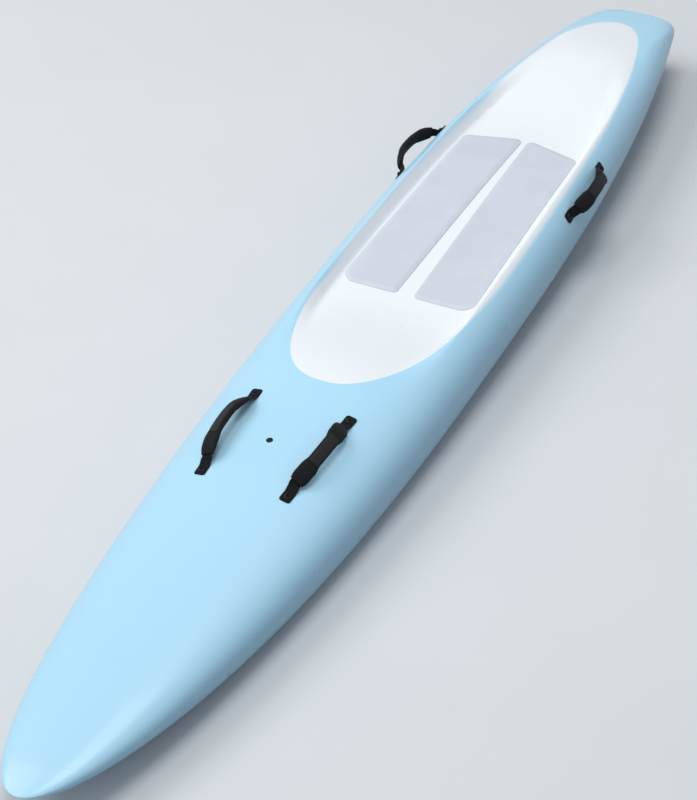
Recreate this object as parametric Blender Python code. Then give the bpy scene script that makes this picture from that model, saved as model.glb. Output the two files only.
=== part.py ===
"""Prone racing paddle board: laminated foam board with a kneeling well, two knee pads,
four webbing carry handles, a vent plug and a bolt-in fin.

Units are metres. The board is designed level, with x from the stern to the bow, y to port
and z up from the flat of its bottom, and is then set down on its fin and bottom.
"""

import math

import bmesh
import bpy
import numpy as np
from mathutils import Matrix, Vector

# Fit between touching pieces
GAP = 0.0003

# Outline, seen from above
LENGTH = 3.2
WIDTH = 0.52
TAIL_WIDTH = 0.222
WIDEST_FROM_STERN = 1.59
BOW_FULLNESS = 2.2
TAIL_FULLNESS = 2.86
TAIL_CORNER_RADIUS = 0.03

# Side profile
CROWN_HEIGHT = 0.233
CROWN_FROM_STERN = 1.54
BOW_DECK_DROP = 0.049
BOW_DECK_POWER = 1.85
TAIL_DECK_DROP = 0.14
TAIL_DECK_POWER = 3.6
FLAT_BOTTOM_START = 1.3
FLAT_BOTTOM_END = 1.5
BOW_ROCKER = 0.168
BOW_ROCKER_POWER = 2.63
TAIL_ROCKER = 0.039
NOSE_ROUNDING = 0.09
TRANSOM_EDGE_RADIUS = 0.012

# Cross-section
RAIL_HEIGHT_SHARE = 0.45
DECK_SQUARENESS = 2.5
RAMP_SQUARENESS = 3.0
RAMP_LENGTH = 0.45
BOTTOM_SQUARENESS = 2.9
BOTTOM_FLAT_SHARE = 0.55
SKIN = 0.0015
STRINGER_THICKNESS = 0.005
SOLID_NOSE = 0.04

# Kneeling well
WELL_DEPTH = 0.068
WELL_TAIL_TOP = 0.30
WELL_TAIL_FOOT = 0.75
WELL_BOW_FOOT = 1.50
WELL_BOW_TOP = 1.90
WELL_FLOOR_SHARE = 0.70
WELL_RIM_SHARE = 0.795
WELL_END_SPREAD = 0.35
WELL_WALL_CURVE = 1.3

# Knee pads
PAD_THICKNESS = 0.005
PAD_FRONT_FROM_STERN = 1.485
PAD_REAR_INNER_FROM_STERN = 0.769
PAD_REAR_OUTER_FROM_STERN = 0.808
PAD_FRONT_SPLAY = 0.0235
PAD_REAR_SPLAY = 0.0077
PAD_WALL_GAP_FRONT = 0.002
PAD_WALL_GAP_REAR = 0.006
PAD_FRONT_OUTER_RADIUS = 0.038
PAD_FRONT_INNER_RADIUS = 0.014
PAD_REAR_RADIUS = 0.016
PAD_SLICES = 12

# Carry handles: where their screws sit, and how far each loop leans outboard at rest
FRONT_HANDLE_AFT = 1.997
FRONT_HANDLE_FORE = 2.267
FRONT_HANDLE_INSET = 0.130
REAR_HANDLE_AFT = 0.815
REAR_HANDLE_FORE = 1.035
REAR_HANDLE_INSET = 0.0125
FRONT_LOOP_HEIGHT = 0.036
REAR_LOOP_HEIGHT = 0.042
FRONT_PORT_LEAN = 27.0
FRONT_STARBOARD_LEAN = 17.0
REAR_PORT_LEAN = -7.0
REAR_STARBOARD_LEAN = 17.0

# Webbing, sleeves and blank labels
WEBBING_WIDTH = 0.028
WEBBING_THICKNESS = 0.0022
TONGUE = 0.015
TONGUE_CORNER_RADIUS = 0.006
TONGUE_FLAT = 0.012
FRONT_TONGUE_RISE = 0.022
REAR_TONGUE_RISE = 0.014
FOLD_HEIGHT = 0.014
LOOP_FULLNESS = 2.6
SLEEVE_WIDE = 0.042
SLEEVE_GRIP = 0.034
SLEEVE_END = 0.034
SLEEVE_THICKNESS = 0.017
SLEEVE_END_THICKNESS = 0.011
SLEEVE_END_MARGIN = 0.003
LABEL_WIDTH = 0.026
LABEL_THICKNESS = 0.0007
TONGUE_STEPS = 5
LOOP_STEPS = 12
LABEL_STEPS = 6

# Handle fastenings
SCREW_RADIUS = 0.0025
SCREW_HEAD_RADIUS = 0.0048
SCREW_HEAD_HEIGHT = 0.003
SCREW_LENGTH = 0.0285
WASHER_RADIUS = 0.008
WASHER_HEIGHT = 0.0024
INSERT_RADIUS = 0.009
INSERT_TOP_DEPTH = 0.004
INSERT_LENGTH = 0.026

# Vent plug
VENT_FROM_STERN = 2.128
VENT_OFFSET = -0.0115
VENT_RADIUS = 0.008
VENT_DEPTH = 0.02
VENT_SCREW_RADIUS = 0.004
VENT_HEAD_RADIUS = 0.0058
VENT_HEAD_HEIGHT = 0.002
VENT_SEAT_DEPTH = 0.004
VENT_SEAL_THICKNESS = 0.0014
VENT_SLOT_WIDTH = 0.0012
VENT_BREATHER_RADIUS = 0.0015

# Fin and its box
FIN_FROM_STERN = 0.27
FIN_DEPTH = 0.105
FIN_CHORD = 0.145
FIN_TIP_CHORD = 0.05
FIN_RAKE = 0.10
FIN_THICKNESS = 0.008
FIN_TIP_THICKNESS = 0.004
FIN_BOX_LENGTH = 0.18
FIN_BOX_WIDTH = 0.024
FIN_BOX_HEIGHT = 0.026
FIN_BOX_END_WALL = 0.009
FIN_SLOT_WIDTH = 0.0096
FIN_SLOT_DEPTH = 0.0205
FIN_TAB_HEIGHT = 0.018
FIN_TONGUE_LENGTH = 0.02
FIN_TONGUE_THICKNESS = 0.003
FIN_TONGUE_RAISE = 0.004
FIN_NUT_THICKNESS = 0.003

# Number of sides of round pieces and of steps in the curved outlines
ROUND_SIDES = 12
CORNER_STEPS = 5
WALL_STEPS = 4
DECK_EDGE_STEPS = 5
BILGE_STEPS = 4


def clear_scene():
    for obj in list(bpy.data.objects):
        bpy.data.objects.remove(obj, do_unlink=True)


def ramp(value, start, end):
    """0 before start, 1 after end, and smooth between them."""
    share = np.clip((value - start) / (end - start), 0.0, 1.0)
    return share * share * (3.0 - 2.0 * share)


def quarter_round(distance, radius):
    """How far a rounded edge lies inside its square corner."""
    return radius - radius * np.sqrt(1.0 - np.clip(1.0 - distance / radius, 0.0, 1.0) ** 2)


# Shape of the board

def half_width(x):
    wide = WIDTH / 2
    bow = np.clip((x - WIDEST_FROM_STERN) / (LENGTH - WIDEST_FROM_STERN), 0.0, 1.0)
    tail = np.clip((WIDEST_FROM_STERN - x) / WIDEST_FROM_STERN, 0.0, 1.0)
    to_bow = wide * np.sqrt(np.maximum(1.0 - bow**BOW_FULLNESS, 0.0))
    to_tail = wide - (wide - TAIL_WIDTH / 2) * tail**TAIL_FULLNESS
    outline = np.where(x > WIDEST_FROM_STERN, to_bow, to_tail)
    return outline - quarter_round(x, TAIL_CORNER_RADIUS)


def profile(x):
    """Heights of the deck's crown and of the bottom on the centreline."""
    to_bow = np.clip((x - CROWN_FROM_STERN) / (LENGTH - CROWN_FROM_STERN), 0.0, 1.0)
    to_tail = np.clip((CROWN_FROM_STERN - x) / CROWN_FROM_STERN, 0.0, 1.0)
    crown = CROWN_HEIGHT - BOW_DECK_DROP * to_bow**BOW_DECK_POWER - TAIL_DECK_DROP * to_tail**TAIL_DECK_POWER
    bow_lift = np.clip((x - FLAT_BOTTOM_END) / (LENGTH - FLAT_BOTTOM_END), 0.0, 1.0)
    tail_lift = np.clip((FLAT_BOTTOM_START - x) / FLAT_BOTTOM_START, 0.0, 1.0)
    keel = BOW_ROCKER * bow_lift**BOW_ROCKER_POWER + TAIL_ROCKER * tail_lift**2
    middle = (crown + keel) / 2
    rounding = np.sqrt(1.0 - np.clip(1.0 - (LENGTH - x) / NOSE_ROUNDING, 0.0, 1.0) ** 2)
    half = (crown - keel) / 2 * rounding - quarter_round(x, TRANSOM_EDGE_RADIUS)
    return middle + half, middle - half


def deck_squareness(x):
    on_ramp = 1.0 - ramp(x, RAMP_LENGTH / 3, RAMP_LENGTH)
    return DECK_SQUARENESS + (RAMP_SQUARENESS - DECK_SQUARENESS) * on_ramp


def well_foot(x):
    """Share of the half width where the well's floor turns up, nearer the middle at its ends."""
    at_ends = 1.0 - ramp(x, WELL_TAIL_TOP, WELL_TAIL_FOOT) + ramp(x, WELL_BOW_FOOT, WELL_BOW_TOP)
    return WELL_FLOOR_SHARE - WELL_END_SPREAD * at_ends


def well_wall(share, foot):
    """0 on the well's floor and 1 at its rim, with a softer bend at the foot than at the rim."""
    climb = np.clip((share - foot) / (WELL_RIM_SHARE - foot), 0.0, 1.0) ** WELL_WALL_CURVE
    return climb * climb * (3.0 - 2.0 * climb)


def deck_height(x, share):
    """Height of the deck at a share of the half width, with the kneeling well scooped out."""
    crown, keel = profile(x)
    rail = keel + RAIL_HEIGHT_SHARE * (crown - keel)
    power = deck_squareness(x)
    domed = rail + (crown - rail) * np.maximum(1.0 - share**power, 0.0) ** (1.0 / power)
    ends = ramp(x, WELL_TAIL_TOP, WELL_TAIL_FOOT) * (1.0 - ramp(x, WELL_BOW_FOOT, WELL_BOW_TOP))
    sides = 1.0 - well_wall(share, well_foot(x))
    floor = crown - WELL_DEPTH
    return domed + (floor - domed) * ends * sides


def stations():
    """Distances from the stern at which the board's sections are drawn."""
    corner = TAIL_CORNER_RADIUS * (1.0 - np.cos(np.radians([0, 30, 60])))
    bow_start = LENGTH - 0.25
    breaks = (
        (TAIL_CORNER_RADIUS, WELL_TAIL_TOP, 3),
        (WELL_TAIL_TOP, WELL_TAIL_FOOT, 7),
        (WELL_TAIL_FOOT, WELL_BOW_FOOT, 6),
        (WELL_BOW_FOOT, WELL_BOW_TOP, 8),
        (WELL_BOW_TOP, bow_start, 8),
    )
    body = [np.linspace(start, end, count, endpoint=False) for start, end, count in breaks]
    steps = np.arange(9) / 8.3
    bow = LENGTH - (LENGTH - bow_start) * (1.0 - steps) ** 2
    return np.concatenate([corner] + body + [bow])


def section(x):
    """Port half of one section, from the middle of the deck over the rail to the keel line."""
    wide = half_width(x)
    crown, keel = profile(x)
    rail = keel + RAIL_HEIGHT_SHARE * (crown - keel)
    foot = float(well_foot(x))
    shares = [foot * step / 3 for step in range(3)]
    shares += [foot + (WELL_RIM_SHARE - foot) * step / WALL_STEPS for step in range(WALL_STEPS + 1)]
    power = deck_squareness(x)
    rim_angle = math.asin(WELL_RIM_SHARE ** (power / 2))
    for step in range(1, DECK_EDGE_STEPS + 1):
        angle = rim_angle + (math.pi / 2 - rim_angle) * step / DECK_EDGE_STEPS
        shares.append(math.sin(angle) ** (2 / power))
    points = [(x, share * wide, float(deck_height(x, share))) for share in shares]
    for step in range(1, BILGE_STEPS + 1):
        angle = math.pi / 2 * step / BILGE_STEPS
        across = max(math.cos(angle), 0.0) ** (2 / BOTTOM_SQUARENESS)
        down = math.sin(angle) ** (2 / BOTTOM_SQUARENESS)
        flat = BOTTOM_FLAT_SHARE
        points.append((x, wide * (flat + (1 - flat) * across), rail - (rail - keel) * down))
    points.append((x, 0.0, float(keel)))
    return points


RAIL_COLUMN = 3 + WALL_STEPS + DECK_EDGE_STEPS


def outer_form():
    """Points of the board's port half, by station and by place round the section."""
    return np.array([section(float(x)) for x in stations()])


def inset(form, depth):
    """The points aft of the solid nose, moved straight in from the surface. Both ends are flat."""
    along = np.gradient(form, axis=0)
    around = np.gradient(form, axis=1)
    around[:, 0] = (0.0, 1.0, 0.0)
    around[:, -1] = (0.0, -1.0, 0.0)
    normal = np.cross(along, around)
    normal /= np.linalg.norm(normal, axis=2, keepdims=True)
    rings = int(np.sum(form[:, 0, 0] < LENGTH - SOLID_NOSE))
    moved = (form - normal * depth)[:rings]
    moved[:, 0, 1] = 0.0
    moved[:, -1, 1] = 0.0
    moved[0, :, 0] = depth
    moved[-1, :, 0] = form[rings - 1, 0, 0] - depth
    return moved


def keel_slope(x):
    step = 0.001
    return float((profile(x + step)[1] - profile(x - step)[1]) / (2 * step))


def deck_point(x, y):
    """Point on the deck above a place in the plan, and the deck's normal there."""
    def height(at_x, at_y):
        return float(deck_height(at_x, abs(at_y) / half_width(at_x)))

    step = 0.0005
    slope_x = (height(x + step, y) - height(x - step, y)) / (2 * step)
    slope_y = (height(x, y + step) - height(x, y - step)) / (2 * step)
    return Vector((x, y, height(x, y))), Vector((-slope_x, -slope_y, 1.0)).normalized()


# Making objects

def material(name, colour, roughness, metallic=0.0):
    made = bpy.data.materials.new(name)
    made.use_nodes = True
    shader = made.node_tree.nodes["Principled BSDF"]
    shader.inputs["Base Color"].default_value = (*colour, 1.0)
    shader.inputs["Roughness"].default_value = roughness
    shader.inputs["Metallic"].default_value = metallic
    made.diffuse_color = (*colour, 1.0)
    return made


def empty(name, parent, matrix):
    obj = bpy.data.objects.new(name, None)
    obj.empty_display_size = 0.05
    bpy.context.scene.collection.objects.link(obj)
    obj.parent = parent
    obj.matrix_local = matrix
    return obj


def mesh_object(name, mesh, finish, parent, smooth_angle=35.0):
    mesh.name = name
    mesh.shade_smooth()
    mesh.set_sharp_from_angle(angle=math.radians(smooth_angle))
    obj = bpy.data.objects.new(name, mesh)
    bpy.context.scene.collection.objects.link(obj)
    obj.parent = parent
    if finish is not None:
        mesh.materials.append(finish)
    return obj


def closed_mesh(points, faces):
    """Mesh from points and faces, with every face turned outwards."""
    bm = bmesh.new()
    corners = [bm.verts.new(point) for point in points]
    for face in faces:
        bm.faces.new([corners[index] for index in face])
    bmesh.ops.recalc_face_normals(bm, faces=bm.faces)
    mesh = bpy.data.meshes.new("mesh")
    bm.to_mesh(mesh)
    bm.free()
    return mesh


def grid_faces(rows, columns, first, closed=False):
    """Quads between rows of points that are stored one row after another from first."""
    faces = []
    for row in range(rows - 1):
        for column in range(columns if closed else columns - 1):
            near = first + row * columns
            far = near + columns
            following = (column + 1) % columns
            faces.append((near + column, near + following, far + following, far + column))
    return faces


def split_quads(faces, rising):
    """Triangles from quads. Rising says for each place in a row which diagonal to take."""
    triangles = []
    for index, (a, b, c, d) in enumerate(faces):
        if rising[index % len(rising)]:
            triangles += [(a, b, c), (a, c, d)]
        else:
            triangles += [(a, b, d), (b, c, d)]
    return triangles


def lofted(rings, split=False):
    """Closed body through rings of equal length, with flat ends."""
    rows, columns = len(rings), len(rings[0])
    points = [point for ring in rings for point in ring]
    faces = grid_faces(rows, columns, 0, closed=True)
    if split:
        faces = split_quads(faces, [True])
    faces.append(tuple(range(columns)))
    faces.append(tuple(range((rows - 1) * columns, rows * columns)))
    return closed_mesh(points, faces)


def turned(profile_points, sides=ROUND_SIDES):
    """Body turned about z. A point of radius 0 is a pole, and a profile without poles is a ring."""
    points, rings = [], []
    for radius, height in profile_points:
        count = 1 if radius == 0 else sides
        rings.append(list(range(len(points), len(points) + count)))
        for side in range(count):
            angle = 2 * math.pi * (side + 0.5) / sides
            points.append((radius * math.cos(angle), radius * math.sin(angle), height))
    pairs = list(zip(rings, rings[1:]))
    if profile_points[0][0] > 0:
        pairs.append((rings[-1], rings[0]))
    faces = []
    for upper, lower in pairs:
        for side in range(sides):
            after = (side + 1) % sides
            corners = [upper[side % len(upper)], upper[after % len(upper)]]
            corners += [lower[after % len(lower)], lower[side % len(lower)]]
            face = list(dict.fromkeys(corners))
            if len(face) > 2:
                faces.append(face)
    return closed_mesh(points, faces)


def box_mesh(low, high):
    bm = bmesh.new()
    size = Vector(high) - Vector(low)
    middle = (Vector(high) + Vector(low)) / 2
    bmesh.ops.create_cube(bm, size=1.0, matrix=Matrix.Translation(middle) @ Matrix.Diagonal((*size, 1.0)))
    mesh = bpy.data.meshes.new("mesh")
    bm.to_mesh(mesh)
    bm.free()
    return mesh


def cutter(name, mesh, parent):
    obj = mesh_object(name, mesh, None, parent)
    obj.hide_render = True
    obj.display_type = "WIRE"
    return obj


def cut(obj, *tools):
    for tool in tools:
        modifier = obj.modifiers.new("cut " + tool.name, "BOOLEAN")
        modifier.operation = "DIFFERENCE"
        modifier.solver = "EXACT"
        modifier.object = tool


def drill(name, radius, top, bottom, parent):
    return cutter(name, turned([(0, top), (radius, top), (radius, bottom), (0, bottom)]), parent)


# Board shells, cores and stringer

def mirrored(points):
    return points * np.array([1.0, -1.0, 1.0])


def shell(name, outer, inner, rising, finish, parent):
    """Thin skin between outer and inner rows of points, closed round its rim.

    The outer rows run on past the inner ones at the bow, where the skin is solid.
    """
    rows, columns = outer.shape[:2]
    inner_rows = inner.shape[0]
    points = [tuple(point) for grid in (outer, inner) for row in grid for point in row]
    inside = rows * columns
    faces = split_quads(grid_faces(rows, columns, 0), rising)
    faces += split_quads(grid_faces(inner_rows, columns, inside), rising)
    faces.append(tuple(range(columns)))
    faces.append(tuple(range((rows - 1) * columns, rows * columns)))
    faces.append(tuple(range(inside, inside + columns)))
    faces.append(tuple(range(inside + (inner_rows - 1) * columns, inside + inner_rows * columns)))
    last = columns - 1
    for row in range(inner_rows - 1):
        for edge in (0, last):
            out, inn = row * columns + edge, inside + row * columns + edge
            faces.append((out, out + columns, inn + columns, inn))
    faces.append((0, last, inside + last, inside))
    nose = (inner_rows - 1) * columns
    inner_nose = inside + nose
    faces.append((nose, inner_nose, inner_nose + last, nose + last, nose + columns + last, nose + columns))
    for row in range(inner_rows, rows - 1):
        start = row * columns
        faces.append((start, start + last, start + columns + last, start + columns))
    return mesh_object(name, closed_mesh(points, faces), finish, parent)


def make_skins(form, finishes, parent):
    inner = inset(form, SKIN)
    lift = np.array([0.0, 0.0, GAP / 2])
    made = []
    for name, columns, shift, rising in (
        ("deck_skin", list(range(RAIL_COLUMN, -1, -1)), lift, False),
        ("hull_skin", list(range(RAIL_COLUMN, form.shape[1])), -lift, True),
    ):
        grids = []
        for grid in (form, inner):
            half = grid[:, columns].copy()
            half[:, 0] += shift
            grids.append(np.concatenate([half, mirrored(half[:, -2::-1])], axis=1))
        steps = len(columns) - 1
        diagonals = [rising] * steps + [not rising] * steps
        made.append(shell(name, grids[0], grids[1], diagonals, finishes[name], parent))
    return made


def make_cores(form, finish, parent):
    wall = STRINGER_THICKNESS / 2 + GAP
    half = inset(form, SKIN + GAP)
    half[:, 0, 1] = wall
    half[:, -1, 1] = wall
    cores = []
    for name, rows in (("port_foam_core", half), ("starboard_foam_core", mirrored(half))):
        rings = [[tuple(point) for point in row] for row in rows]
        cores.append(mesh_object(name, lofted(rings, split=True), finish, parent))
    return cores


def make_stringer(form, finish, parent):
    half = STRINGER_THICKNESS / 2
    rings = []
    for row in inset(form, SKIN + GAP):
        top, bottom = row[0], row[-1]
        rings.append(
            [
                (top[0], half, top[2]),
                (top[0], -half, top[2]),
                (bottom[0], -half, bottom[2]),
                (bottom[0], half, bottom[2]),
            ]
        )
    return mesh_object("stringer", lofted(rings), finish, parent)


# Knee pads

def rounded_outline(corners, radii):
    """Corners of a flat outline, each replaced by an arc."""
    outline = []
    count = len(corners)
    for index, (corner, radius) in enumerate(zip(corners, radii)):
        corner = Vector(corner)
        back = (Vector(corners[index - 1]) - corner).normalized()
        ahead = (Vector(corners[(index + 1) % count]) - corner).normalized()
        half_angle = back.angle(ahead) / 2
        centre = corner + (back + ahead).normalized() * radius / math.sin(half_angle)
        start = corner + back * radius / math.tan(half_angle) - centre
        end = corner + ahead * radius / math.tan(half_angle) - centre
        sweep = start.angle_signed(end)
        for step in range(CORNER_STEPS + 1):
            turn = -sweep * step / CORNER_STEPS
            turned_start = Matrix.Rotation(turn, 2) @ start
            outline.append(centre + turned_start)
    return outline


def pad_outline():
    """Plan of the port pad, from its rear inner corner round by the bow."""
    front = PAD_FRONT_FROM_STERN
    rear = PAD_REAR_OUTER_FROM_STERN
    outer_front = float(half_width(front)) * WELL_FLOOR_SHARE - PAD_WALL_GAP_FRONT
    outer_rear = float(half_width(rear)) * WELL_FLOOR_SHARE - PAD_WALL_GAP_REAR
    corners = (
        (PAD_REAR_INNER_FROM_STERN, PAD_REAR_SPLAY),
        (front, PAD_FRONT_SPLAY),
        (front, outer_front),
        (rear, outer_rear),
    )
    radii = (PAD_REAR_RADIUS, PAD_FRONT_INNER_RADIUS, PAD_FRONT_OUTER_RADIUS, PAD_REAR_RADIUS)
    return rounded_outline(corners, radii)


def make_pad(name, side, finish, parent):
    bm = bmesh.new()
    outline = [bm.verts.new((point.x, side * point.y, 0.0)) for point in pad_outline()]
    bm.faces.new(outline)
    start, end = PAD_REAR_INNER_FROM_STERN, PAD_FRONT_FROM_STERN
    for step in range(1, PAD_SLICES):
        x = start + (end - start) * step / PAD_SLICES
        geometry = bm.verts[:] + bm.edges[:] + bm.faces[:]
        bmesh.ops.bisect_plane(bm, geom=geometry, dist=1e-6, plane_co=(x, 0, 0), plane_no=(1, 0, 0))
    raised = bmesh.ops.extrude_face_region(bm, geom=bm.faces[:])["geom"]
    upper = {vert for vert in raised if isinstance(vert, bmesh.types.BMVert)}
    for vert in bm.verts:
        floor = float(profile(vert.co.x)[0]) - WELL_DEPTH
        vert.co.z = floor + GAP + (PAD_THICKNESS if vert in upper else 0.0)
    bmesh.ops.recalc_face_normals(bm, faces=bm.faces)
    mesh = bpy.data.meshes.new(name)
    bm.to_mesh(mesh)
    bm.free()
    return mesh_object(name, mesh, finish, parent)


# Carry handles

def handle_frame(aft, fore, inset_from_rail, side):
    """Frame midway between a handle's screws: x forward along it, z straight out of the deck."""
    aft_point, aft_normal = deck_point(aft, side * (float(half_width(aft)) - inset_from_rail))
    fore_point, fore_normal = deck_point(fore, side * (float(half_width(fore)) - inset_from_rail))
    forward = (fore_point - aft_point).normalized()
    up = aft_normal + fore_normal
    up = (up - forward * up.dot(forward)).normalized()
    across = up.cross(forward)
    frame = Matrix((forward, across, up)).transposed().to_4x4()
    frame.translation = (aft_point + fore_point) / 2
    return frame, (fore_point - aft_point).length / 2


def ribbon(stations_along, heights, half_widths, half_thickness):
    """Flat strap along x whose middle follows the heights. Its ends are square to x."""
    slopes = np.gradient(heights, stations_along)
    rings = []
    for x, z, half, slope in zip(stations_along, heights, half_widths, slopes):
        thick = half_thickness * math.hypot(1.0, slope)
        top, bottom = z + thick, z - thick
        rings.append([(x, half, top), (x, -half, top), (x, -half, bottom), (x, half, bottom)])
    return lofted(rings)


def tongue_mesh(half_length, rise):
    """Static end of the webbing at the fore screw, rising to the fold where the loop begins."""
    tip = half_length + TONGUE
    half = WEBBING_WIDTH / 2
    flat_end = half_length - TONGUE_FLAT
    fold = flat_end - rise
    low = GAP + WEBBING_THICKNESS / 2
    along, heights, widths = [], [], []
    for angle in (0, 30, 60, 90):
        along.append(tip - TONGUE_CORNER_RADIUS * (1 - math.cos(math.radians(angle))))
        heights.append(low)
        widths.append(half - TONGUE_CORNER_RADIUS * (1 - math.sin(math.radians(angle))))
    for step in range(TONGUE_STEPS + 1):
        share = step / TONGUE_STEPS
        along.append(flat_end - rise * share)
        heights.append(low + (FOLD_HEIGHT - low) * share**1.3)
        widths.append(half)
    along[-1] = fold
    return ribbon(np.array(along), np.array(heights), widths, WEBBING_THICKNESS / 2)


def loop_stations(half_length, rise):
    """Places along the loop. The sleeve covers all but the first and last gap."""
    reach = half_length - TONGUE_FLAT - rise - GAP
    middle = np.linspace(-(reach - SLEEVE_END_MARGIN), reach - SLEEVE_END_MARGIN, LOOP_STEPS + 1)
    return np.concatenate([[-reach], middle, [reach]]), reach


def loop_heights(along, reach, height):
    """Height of the loop's middle above the fold line."""
    return (height - FOLD_HEIGHT) * (1.0 - np.abs(along / reach) ** LOOP_FULLNESS)


def loop_mesh(half_length, rise, height):
    along, reach = loop_stations(half_length, rise)
    widths = [WEBBING_WIDTH / 2] * len(along)
    return ribbon(along, loop_heights(along, reach, height), widths, WEBBING_THICKNESS / 2)


def sleeve_half_width(share):
    """The sleeve is narrow at the grip, flares on both sides of it and draws in at its ends."""
    flare = (SLEEVE_WIDE - SLEEVE_GRIP) * ramp(abs(share), 0.35, 0.6)
    draw_in = (SLEEVE_WIDE - SLEEVE_END) * ramp(abs(share), 0.7, 1.0)
    return (SLEEVE_GRIP + flare - draw_in) / 2


def sleeve_half_thickness(share):
    return (SLEEVE_THICKNESS - (SLEEVE_THICKNESS - SLEEVE_END_THICKNESS) * ramp(abs(share), 0.7, 1.0)) / 2


def sleeve_mesh(half_length, rise, height):
    """Neoprene tube round the webbing."""
    along, reach = loop_stations(half_length, rise)
    heights = loop_heights(along, reach, height)
    slopes = np.gradient(heights, along)
    outer_angles = np.radians([0, 40, 75, 105, 140, 180, 220, 255, 285, 320])
    inner_half = WEBBING_WIDTH / 2 + GAP
    rows = []
    for x, z, slope in list(zip(along, heights, slopes))[1:-1]:
        tilt = math.hypot(1.0, slope)
        half = float(sleeve_half_width(x / reach))
        thick = float(sleeve_half_thickness(x / reach)) * tilt
        hollow = WEBBING_THICKNESS / 2 * tilt + GAP
        outer = []
        for angle in outer_angles:
            c, s = math.cos(angle), math.sin(angle)
            across = math.copysign(abs(c) ** 0.7, c)
            up = math.copysign(abs(s) ** 0.7, s)
            outer.append((x, half * across, z + thick * up))
        inner = [(x, inner_half, z + hollow), (x, -inner_half, z + hollow)]
        inner += [(x, -inner_half, z - hollow), (x, inner_half, z - hollow)]
        rows.append((outer, inner))
    sides = len(outer_angles)
    count = len(rows)
    points = [point for outer, _ in rows for point in outer]
    points += [point for _, inner in rows for point in inner]
    inside = count * sides
    faces = grid_faces(count, sides, 0, closed=True) + grid_faces(count, 4, inside, closed=True)
    for outer_start, inner_start in ((0, inside), ((count - 1) * sides, inside + (count - 1) * 4)):
        o = [outer_start + index for index in range(sides)]
        i = [inner_start + index for index in range(4)]
        faces += [(o[0], o[1], o[2], i[0]), (i[0], o[2], o[3], i[1]), (o[3], o[4], o[5], i[1])]
        faces += [(o[5], o[6], o[7], i[2], i[1]), (i[2], o[7], o[8], i[3]), (o[8], o[9], o[0], i[0], i[3])]
    return closed_mesh(points, faces)


def label_mesh(half_length, rise, height):
    """Blank woven label sewn on top of the sleeve."""
    along, reach = loop_stations(half_length, rise)
    heights = loop_heights(along, reach, height)
    slopes = np.gradient(heights, along)
    first = 1 + (LOOP_STEPS - LABEL_STEPS) // 2
    chosen = slice(first, first + LABEL_STEPS + 1)
    top = heights[chosen] + SLEEVE_THICKNESS / 2 * np.hypot(1.0, slopes[chosen])
    middle = top + (GAP + LABEL_THICKNESS / 2) * np.hypot(1.0, slopes[chosen])
    widths = [LABEL_WIDTH / 2] * (LABEL_STEPS + 1)
    return ribbon(along[chosen], middle, widths, LABEL_THICKNESS / 2)


def fastening_profiles():
    """Turned outlines of a handle's screw, cup washer and threaded insert, with the deck at z = 0."""
    washer_low = WEBBING_THICKNESS + 2 * GAP
    washer_high = washer_low + WASHER_HEIGHT
    head_low = washer_high + GAP
    head_high = head_low + SCREW_HEAD_HEIGHT
    hole = SCREW_RADIUS + GAP
    screw = [
        (0, head_high),
        (SCREW_HEAD_RADIUS * 0.7, head_high - SCREW_HEAD_HEIGHT * 0.1),
        (SCREW_HEAD_RADIUS, head_low + SCREW_HEAD_HEIGHT * 0.35),
        (SCREW_HEAD_RADIUS, head_low),
        (SCREW_RADIUS, head_low),
        (SCREW_RADIUS, head_low - SCREW_LENGTH),
        (0, head_low - SCREW_LENGTH - SCREW_RADIUS / 2),
    ]
    washer = [
        (hole, washer_low),
        (hole, washer_high),
        (WASHER_RADIUS * 0.72, washer_high),
        (WASHER_RADIUS, washer_low + WASHER_HEIGHT * 0.3),
        (WASHER_RADIUS, washer_low),
    ]
    insert_low = -INSERT_TOP_DEPTH - INSERT_LENGTH
    bore_low = head_low - SCREW_LENGTH - SCREW_RADIUS
    insert = [
        (0, bore_low),
        (hole, bore_low),
        (hole, -INSERT_TOP_DEPTH),
        (INSERT_RADIUS, -INSERT_TOP_DEPTH),
        (INSERT_RADIUS, insert_low),
        (0, insert_low),
    ]
    return screw, washer, insert


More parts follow.
